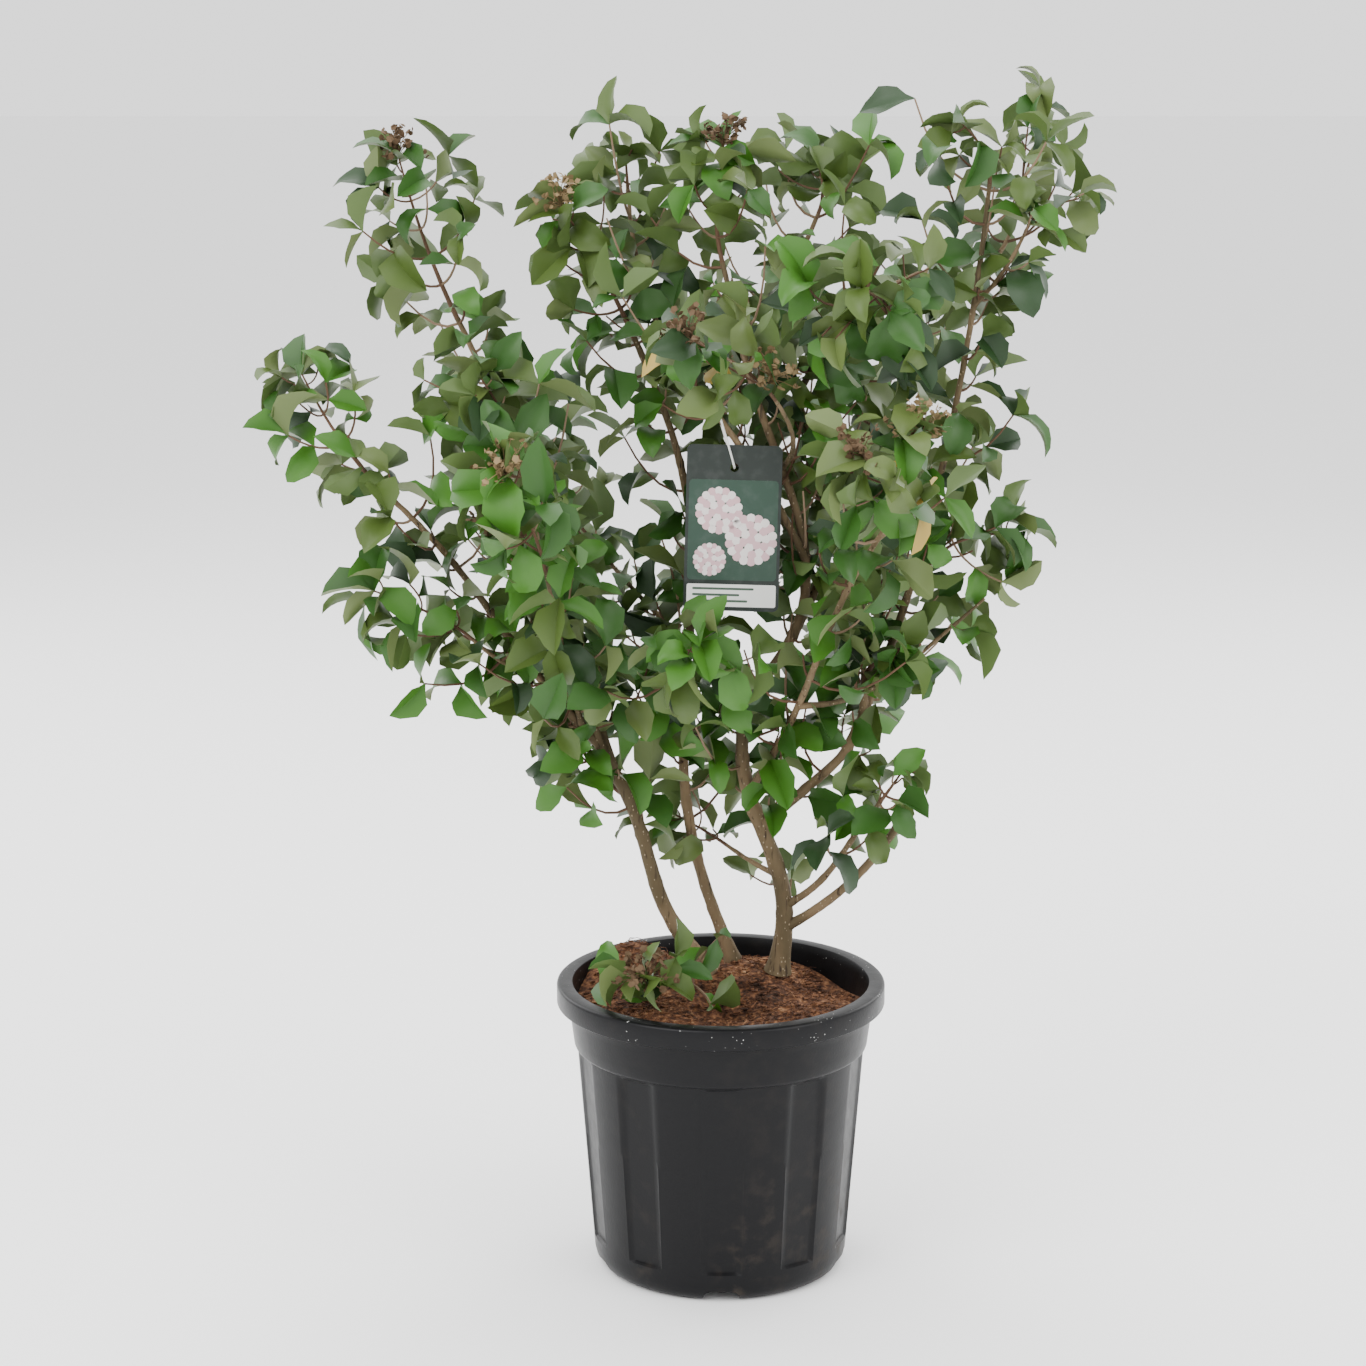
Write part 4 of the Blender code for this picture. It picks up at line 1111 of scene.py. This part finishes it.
class Crown:
    """The room between the masses, where a limb bears leaves of its own."""

    tag_window = (-0.056, 0.074, 0.655, 0.885)
    sight_slope = 0.16
    lowest = 0.345
    mass_share = 0.80

    def __init__(self, centre: Vector) -> None:
        """Take the middle of a limb and the corners of the CAD box."""
        self.centre = centre
        self.low, self.high = (Vector(corner) for corner in CAD_BOX)

    def owns(self, place: Vector) -> bool:
        """Tell whether a place is in the crown and leaves the tag in sight."""
        if place.z < self.lowest or any(not a < b < c for a, b, c in zip(self.low, place, self.high)):
            return False
        left, right, foot, top = self.tag_window
        return not (place.y < 0.004 and left < place.x < right and foot < place.z + place.y * self.sight_slope < top)

    def holds(self, place: Vector) -> bool:
        """Tell whether a leaf may reach a place."""
        return self.owns(place)

    def spares(self, middle: Vector) -> bool:
        """Tell whether a leaf's middle lies outside every mass."""
        for mass in MASSES:
            offset = middle - Vector(mass.centre)
            if sum((part / radius) ** 2 for part, radius in zip(offset, mass.radii)) < self.mass_share ** 2:
                return False
        return True

    def exit_length(self, start: Vector, heading: Vector) -> float:
        """Return how far a leaf may reach: the crown sets no length."""
        return 1.0


@dataclass
class LeafPattern:
    """One toothed leaf of unit length: X across, Y out of its face, Z along it."""

    fold: float
    curl: float
    twist: float
    wave: float
    width: float
    rows: int = 7
    columns: int = 4
    stalk: float = 0.10
    tooth: float = 0.055
    thickness: float = 0.008

    def half_width(self, share: float) -> float:
        """Return the blade's half width at a share of its length."""
        if share < self.stalk:
            return 0.014
        blade = (share - self.stalk) / (1.0 - self.stalk)
        return 0.014 * (1.0 - blade) + self.width / 2 * math.sin(math.pi * blade ** 0.78) ** 0.85

    def bend(self, across: float, along: float) -> Vector:
        """Return where a point of the flat leaf lies on the folded, curled one."""
        angle = self.curl * along
        rise = self.fold * abs(across) + self.wave * across * math.sin(9.0 * along)
        y = -(1.0 - math.cos(angle)) / self.curl + rise * math.cos(angle)
        z = math.sin(angle) / self.curl + rise * math.sin(angle)
        turn = self.twist * along
        cosine, sine = math.cos(turn), math.sin(turn)
        return Vector((across * cosine - y * sine, across * sine + y * cosine, z))

    def build(self, name: str) -> bpy.types.Mesh:
        """Build the leaf, a closed thin sheet with its underside in slot 1."""
        bm = bmesh.new()
        bmesh.ops.create_grid(bm, x_segments=self.columns, y_segments=self.rows, size=0.5)
        for vertex in bm.verts:
            aside, along = vertex.co.x * 2.0, vertex.co.y + 0.5
            reach = self.half_width(along) if along < 1.0 - WELD else 0.0
            if abs(aside) > 0.99:
                reach *= 1.0 + self.tooth * (-1) ** round(along * self.rows)
            vertex.co = self.bend(aside * reach, along)
        bmesh.ops.remove_doubles(bm, verts=bm.verts, dist=WELD)
        bm.normal_update()
        if sum(face.normal.y for face in bm.faces) < 0.0:
            bmesh.ops.reverse_faces(bm, faces=bm.faces)
            bm.normal_update()
        inner = [vertex for vertex in bm.verts if not vertex.is_boundary]
        copied = bmesh.ops.duplicate(bm, geom=[*bm.verts, *bm.edges, *bm.faces])
        for vertex in inner:
            copied["vert_map"][vertex].co -= vertex.normal * self.thickness
        under = [part for part in copied["geom"] if isinstance(part, bmesh.types.BMFace)]
        bmesh.ops.reverse_faces(bm, faces=under)
        for face in under:
            face.material_index = 1
        bmesh.ops.remove_doubles(bm, verts=bm.verts, dist=WELD)
        mesh = bpy.data.meshes.new(name)
        bm.to_mesh(mesh)
        bm.free()
        return mesh


def leaf_patterns(count: int) -> list:
    """Return leaves of several folds and curls to deal from."""
    rng = random.Random("leaf patterns")
    patterns = []
    for index in range(count):
        pattern = LeafPattern(
            fold=rng.uniform(0.15, 1.0),
            curl=rng.choice((0.5, 1.0, 1.5, 2.1)) * rng.uniform(0.8, 1.2),
            twist=rng.uniform(-0.5, 0.5),
            wave=rng.uniform(0.02, 0.16),
            width=rng.uniform(0.50, 0.64),
        )
        patterns.append(pattern.build(f"leaf_pattern_{index}"))
    return patterns


class Leaf(NamedTuple):
    """One leaf: its root, the way it points, the way it faces, its length."""

    root: Vector
    along: Vector
    face: Vector
    length: float


def bent_path(start: Vector, heading: Vector, end: Vector, count: int, radii: tuple) -> Path:
    """Return a path that leaves along a heading and bends to its end."""
    knee = start + heading * (end - start).length * 0.45
    shares = [index / (count - 1) for index in range(count)]
    points = [start * (1 - t) ** 2 + knee * 2 * t * (1 - t) + end * t ** 2 for t in shares]
    return Path(points, [blend(*radii, t) for t in shares])


def jitter(rng: random.Random, size: float) -> Vector:
    """Return a small random vector."""
    return Vector([rng.uniform(-size, size) for _ in range(3)])


@dataclass
class Foliage:
    """The twigs, leaves and dried heads that stand for one mass."""

    mass: Mass
    limbs: dict
    patterns: list
    solids: BVHTree
    tip_radius: float = 0.0009
    shoot_radius: float = 0.0016
    bare: float = 0.22
    tilt: float = math.radians(56.0)
    shortest: float = 0.014
    nodes: tuple = ((0.52, (-1.0, 1.0)), (1.0, (-1.0, 1.0, 0.0)))
    leaf_sizes: tuple = (0.66, 1.14)
    clear_of_limbs: float = 0.003
    apart: float = 0.015

    def stem(self, space: Space) -> Path:
        """Return the stem's path, from its limb to near its far side."""
        mass = self.mass
        place, heading, radius = along_path(self.limbs[mass.limb], mass.at)
        if mass.at < 1.0:
            heading = (space.centre - place).cross(heading).cross(-heading).normalized()
            radius = 0.0032
        toward = (space.centre - place).normalized()
        length = max(space.exit_length(place, toward) - mass.leaf * 0.8, self.shortest)
        return bent_path(place, heading, place + toward * length, 9, (radius, self.tip_radius))

    def shoots(self, space: Space, stem: Path, rng: random.Random) -> Iterator[Path]:
        """Yield the shoots, in opposite pairs up the stem."""
        count = self.mass.shoots + 2
        pairs = (count + 1) // 2
        turn = rng.uniform(0.0, math.pi)
        for index in range(count):
            rise = self.bare + (0.92 - self.bare) * (index // 2) / max(pairs - 1, 1)
            place, heading, radius = along_path(stem, rise)
            angle = turn + (index // 2) * math.pi / 2 + (index % 2) * math.pi + rng.uniform(-0.35, 0.35)
            side = heading.orthogonal().normalized()
            side.rotate(Matrix.Rotation(angle, 3, heading))
            tilt = self.tilt + rng.uniform(-0.2, 0.2)
            away = (heading * math.cos(tilt) + side * math.sin(tilt)).normalized()
            length = space.exit_length(place, away) * rng.uniform(0.66, 1.08) - self.mass.leaf * 0.6
            end = place + away * max(length, self.shortest)
            yield bent_path(place, side, end, 7, (min(self.shoot_radius, radius * 0.8), self.tip_radius))

    def leaves(self, space: Space, shoot: Path, rng: random.Random) -> Iterator[Leaf]:
        """Yield a shoot's leaves: opposite pairs, then one at its tip."""
        turn = rng.uniform(-0.4, 0.4)
        for node, (share, sides) in enumerate(self.nodes):
            place, heading, _ = along_path(shoot, share)
            level = heading.cross(UP)
            if level.length < 0.2:
                level = heading.orthogonal()
            level.normalize()
            level.rotate(Matrix.Rotation(turn + node * math.pi / 2, 3, heading))
            outward = (place - space.centre).normalized()
            for side in sides:
                along = heading * (0.5 if side else 1.0) + level * side * 0.8 - UP * 0.30 + jitter(rng, 0.32)
                along.normalize()
                length = min(self.mass.leaf * rng.uniform(*self.leaf_sizes), space.exit_length(place, along) * 1.14)
                face = UP * 0.6 + outward * 0.5 + jitter(rng, 0.85)
                face = (face - along * face.dot(along)).normalized()
                yield Leaf(place, along, face, length)

    def tint(self, space: Space, rng: random.Random) -> Tint:
        """Deal a spray its colour by where the mass stands."""
        upper = min(max((space.centre.z - 0.70) / 0.40, 0.0), 1.0)
        shade = 1.0 if space.centre.x > 0.19 and space.centre.z > 0.8 else 0.25
        chances = {
            Tint.OLIVE: 0.25 + upper * 0.35,
            Tint.SAGE: 0.06 + upper * 0.22,
            Tint.MID: 0.45,
            Tint.BRIGHT: 0.45 - upper * 0.35,
            Tint.DARK: shade * 0.6,
            Tint.YELLOWING: 0.015,
        }
        return rng.choices(list(chances), list(chances.values()))[0]

    def place_leaf(self, bm: bmesh.types.BMesh, leaf: Leaf, space: Space, taken: list, slots: tuple, mesh: Any) -> bool:
        """Add one leaf where there is room for it.

        Args:
            bm: The foliage mesh.
            leaf: The leaf's place.
            space: The mass's space.
            taken: The middles of the leaves so far.
            slots: The material indices of its top and its underside.
            mesh: The leaf's pattern.

        Returns:
            Whether the leaf was added.
        """
        side = leaf.face.cross(leaf.along)
        turn = Matrix((side, leaf.face, leaf.along)).transposed().to_4x4()
        matrix = Matrix.Translation(leaf.root) @ turn @ Matrix.Scale(leaf.length, 4)
        corners = [matrix @ vertex.co for vertex in mesh.vertices]
        middle = sum(corners, Vector()) / len(corners)
        if leaf.length < self.mass.leaf * 0.45 or any((middle - other).length < self.apart for other in taken):
            return False
        if not space.spares(middle) or not all(space.holds(corner) for corner in corners):
            return False
        reach = leaf.length * 0.25
        for corner in corners[::4]:
            if (corner - leaf.root).length > reach and self.solids.find_nearest(corner)[3] < self.clear_of_limbs:
                return False
        blade = mesh.copy()
        blade.transform(matrix)
        for face in blade.polygons:
            face.material_index = slots[face.material_index]
        bm.from_mesh(blade)
        bpy.data.meshes.remove(blade)
        taken.append(middle)
        return True

    def dried_head(self, bm: bmesh.types.BMesh, shoot: Path, space: Space, rng: random.Random) -> None:
        """Add a dried flower head at a shoot's tip: wiry rays and papery florets."""
        end, heading, _ = along_path(shoot, 1.0)
        slot = rng.choice((Tint.DRIED, Tint.DRIED_PALE)).slot
        for _ in range(30):
            away = (heading * 0.7 + UP * 0.3 + jitter(rng, 0.9)).normalized()
            tip = end + away * rng.uniform(0.014, 0.036)
            if not space.owns(tip):
                continue
            path = bent_path(end - heading * 0.001, heading, tip, 4, (0.0006, 0.0004))
            sweep(bm, path, 3, slot)
            for _ in range(3):
                spot = tip + jitter(rng, 0.0035)
                spin = Matrix.Rotation(rng.uniform(0.0, math.tau), 4, Vector((rng.random(), rng.random(), 0.5)))
                floret = bmesh.ops.create_cone(
                    bm, cap_ends=True, segments=5, radius1=rng.uniform(0.0022, 0.0042), radius2=0.0005,
                    depth=0.0012, matrix=Matrix.Translation(spot) @ spin,
                )
                for face in faces_of(floret["verts"]):
                    face.material_index = slot

    def build(self, materials: list) -> int:
        """Grow the mass.

        Args:
            materials: The materials of every tint, in order.

        Returns:
            The number of leaves.
        """
        mass = self.mass
        rng = random.Random(f"{mass.name} dressed")
        space = Space(mass)
        bm = bmesh.new()
        stem = self.stem(space)
        sweep(bm, stem, 7, Tint.TWIG.slot)
        bearers = [Path(stem.points[-3:], stem.radii[-3:])]
        for shoot in self.shoots(space, stem, rng):
            if all(space.owns(point) for point in shoot.points):
                bark = rng.choice((Tint.TWIG, Tint.TWIG, Tint.PALE_TWIG))
                sweep(bm, shoot, 5, bark.slot)
                bearers.append(shoot)
        for bearer in bearers[:DRIED_HEADS.get(mass.name, 0)]:
            self.dried_head(bm, bearer, space, rng)
        taken: list = []
        for bearer in bearers:
            spray = self.tint(space, rng)
            for leaf in self.leaves(space, bearer, rng):
                top = spray if rng.random() < 0.72 else self.tint(space, rng)
                under = rng.choice((Tint.UNDERSIDE, Tint.UNDERSIDE, Tint.PALE_UNDERSIDE))
                mesh = rng.choice(self.patterns)
                self.place_leaf(bm, leaf, space, taken, (top.slot, under.slot), mesh)
        add_piece(f"foliage_of_{mass.name[7:]}", bm, materials, [mass.name], crease=55.0)
        return len(taken)


@dataclass
class LimbFoliage(Foliage):
    """The side shoots and leaves that a limb bears along its own length."""

    spacing: float = 0.034
    first: float = 0.10
    bare_height: float = 0.34
    full_height: float = 0.50
    short: tuple = (0.012, 0.042)
    long: tuple = (0.050, 0.125)
    long_share: float = 0.42
    density: float = 0.90

    def side_shoots(self, space: Crown, limb: Path, rng: random.Random) -> Iterator[Path]:
        """Yield the side shoots, in opposite pairs along the limb."""
        run = sum((end - start).length for start, end in zip(limb.points, limb.points[1:]))
        count = max(2, round(run / self.spacing))
        turn = rng.uniform(0.0, math.pi)
        for index in range(count):
            share = self.first + (0.99 - self.first) * index / (count - 1)
            place, heading, radius = along_path(limb, share)
            height = (place.z - self.bare_height) / (self.full_height - self.bare_height)
            for side_turn in (0.0, math.pi):
                if rng.random() > self.density * min(max(height, 0.05), 1.0):
                    continue
                side = heading.orthogonal().normalized()
                side.rotate(Matrix.Rotation(turn + index * 1.9 + side_turn + rng.uniform(-0.4, 0.4), 3, heading))
                away = (heading * 0.55 + side * 0.85 + UP * 0.25).normalized()
                length = rng.uniform(*(self.long if rng.random() < self.long_share else self.short))
                root = place + side * radius * 0.6
                radii = (min(self.shoot_radius, radius * 0.8), self.tip_radius)
                shoot = bent_path(root, side, root + away * length, 6, radii)
                if all(space.owns(point) for point in shoot.points):
                    yield shoot

    def grow(self, materials: list, taken: list) -> int:
        """Grow the limb's own shoots and leaves.

        Args:
            materials: The materials of every tint, in order.
            taken: The middles of the leaves on all limbs so far.

        Returns:
            The number of leaves on this limb.
        """
        mass = self.mass
        rng = random.Random(f"{mass.name} along")
        path = self.limbs[mass.limb]
        space = Crown(Vector(mass.centre))
        before = len(taken)
        bm = bmesh.new()
        for shoot in self.side_shoots(space, path, rng):
            sweep(bm, shoot, 5, rng.choice((Tint.TWIG, Tint.PALE_TWIG)).slot)
            spray = self.tint(space, rng)
            for leaf in self.leaves(space, shoot, rng):
                top = spray if rng.random() < 0.72 else self.tint(space, rng)
                under = rng.choice((Tint.UNDERSIDE, Tint.UNDERSIDE, Tint.PALE_UNDERSIDE))
                self.place_leaf(bm, leaf, space, taken, (top.slot, under.slot), rng.choice(self.patterns))
        if bm.faces:
            add_piece(f"leaves_along_{mass.name}", bm, materials, crease=55.0)
        return len(taken) - before


def limb_foliage(limbs: dict, patterns: list, solids: BVHTree) -> list:
    """Return the growers of every limb that bears leaves of its own."""
    growers = []
    for limb in LIMBS:
        if limb.name == "stub":
            continue
        middle = along_path(limbs[limb.name], 0.6)[0] - UP * 0.03
        row = Mass(limb.name, limb.name, tuple(middle), (0.1, 0.1, 0.1), 0, 0.052)
        density = 0.35 if limb.name == "right_bare" else 0.90
        growers.append(LimbFoliage(row, limbs, patterns, solids, apart=0.017, density=density))
    return growers


@dataclass
class Studio:
    """The pale floor, the soft lights and the camera."""

    camera_place: tuple = (-0.038, -3.1, 1.27)
    camera_pitch: float = math.radians(77.8)
    lens: float = 84.7
    lamps: tuple = (
        ((-2.2, -2.6, 3.2), 2.6, 150.0),
        ((2.8, -2.0, 2.4), 2.4, 80.0),
        ((0.0, 1.2, 3.8), 3.2, 120.0),
        ((-2.6, 2.6, 2.2), 2.2, 60.0),
        ((2.6, 2.6, 2.2), 2.2, 60.0),
    )
    aim: tuple = (0.0, 0.0, 0.65)

    def build(self) -> None:
        """Build the floor, the lights, the world and the camera."""
        bm = bmesh.new()
        bmesh.ops.create_grid(bm, x_segments=2, y_segments=2, size=30.0)
        mesh = bpy.data.meshes.new("floor")
        bm.to_mesh(mesh)
        bm.free()
        mesh.materials.append(Floor().mix())
        floor = bpy.data.objects.new("floor", mesh)
        scene = bpy.context.scene
        scene.collection.objects.link(floor)
        floor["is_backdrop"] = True
        for index, (place, size, power) in enumerate(self.lamps):
            lamp = bpy.data.lights.new(f"soft_light_{index}", "AREA")
            lamp.size = size
            lamp.energy = power
            light = bpy.data.objects.new(lamp.name, lamp)
            light.location = place
            light.rotation_euler = (Vector(self.aim) - Vector(place)).to_track_quat("-Z", "Y").to_euler()
            scene.collection.objects.link(light)
        world = bpy.data.worlds.new("white_studio")
        world.use_nodes = True
        world.node_tree.nodes["Background"].inputs[0].default_value = (1.0, 1.0, 1.0, 1.0)
        world.node_tree.nodes["Background"].inputs[1].default_value = 1.7
        scene.world = world
        lens = bpy.data.cameras.new("camera")
        lens.lens = self.lens
        camera = bpy.data.objects.new("camera", lens)
        camera.location = self.camera_place
        camera.rotation_euler = (self.camera_pitch, 0.0, 0.0)
        scene.collection.objects.link(camera)
        scene.camera = camera


def solids_tree() -> BVHTree:
    """Return the search tree of everything that leaves keep clear of."""
    bm = bmesh.new()
    for name in ("pot", "soil", "label", "label_strap", *(limb.name for limb in LIMBS)):
        bm.from_mesh(frame["nodes"][name].data)
    tree = BVHTree.FromBMesh(bm)
    bm.free()
    return tree


def main() -> None:
    """Build every piece of the potted shrub and its studio."""
    logging.basicConfig(level=logging.INFO, format="%(name)s %(message)s")
    solids = solids_tree()
    pot = Pot()
    pot.build(PotPlastic().mix())
    Mulch(pot).build(CoirMulch().mix())
    framework = Framework()
    framework.build(Bark().mix())
    PlantTag().build(framework)
    tints = [tint.mix() for tint in Tint]
    patterns = leaf_patterns(14)
    leaves = sum(Foliage(mass, framework.paths, patterns, solids).build(tints) for mass in MASSES)
    taken: list = []
    leaves += sum(grower.grow(tints, taken) for grower in limb_foliage(framework.paths, patterns, solids))
    for pattern in patterns:
        bpy.data.meshes.remove(pattern)
    log.info("%d leaves in all", leaves)
    Studio().build()
    boxes = {"cad": CAD_BOX, "visual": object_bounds()}
    plain = {name: [[float(part) for part in corner] for corner in box] for name, box in boxes.items()}


if __name__ == "__main__":
    main()
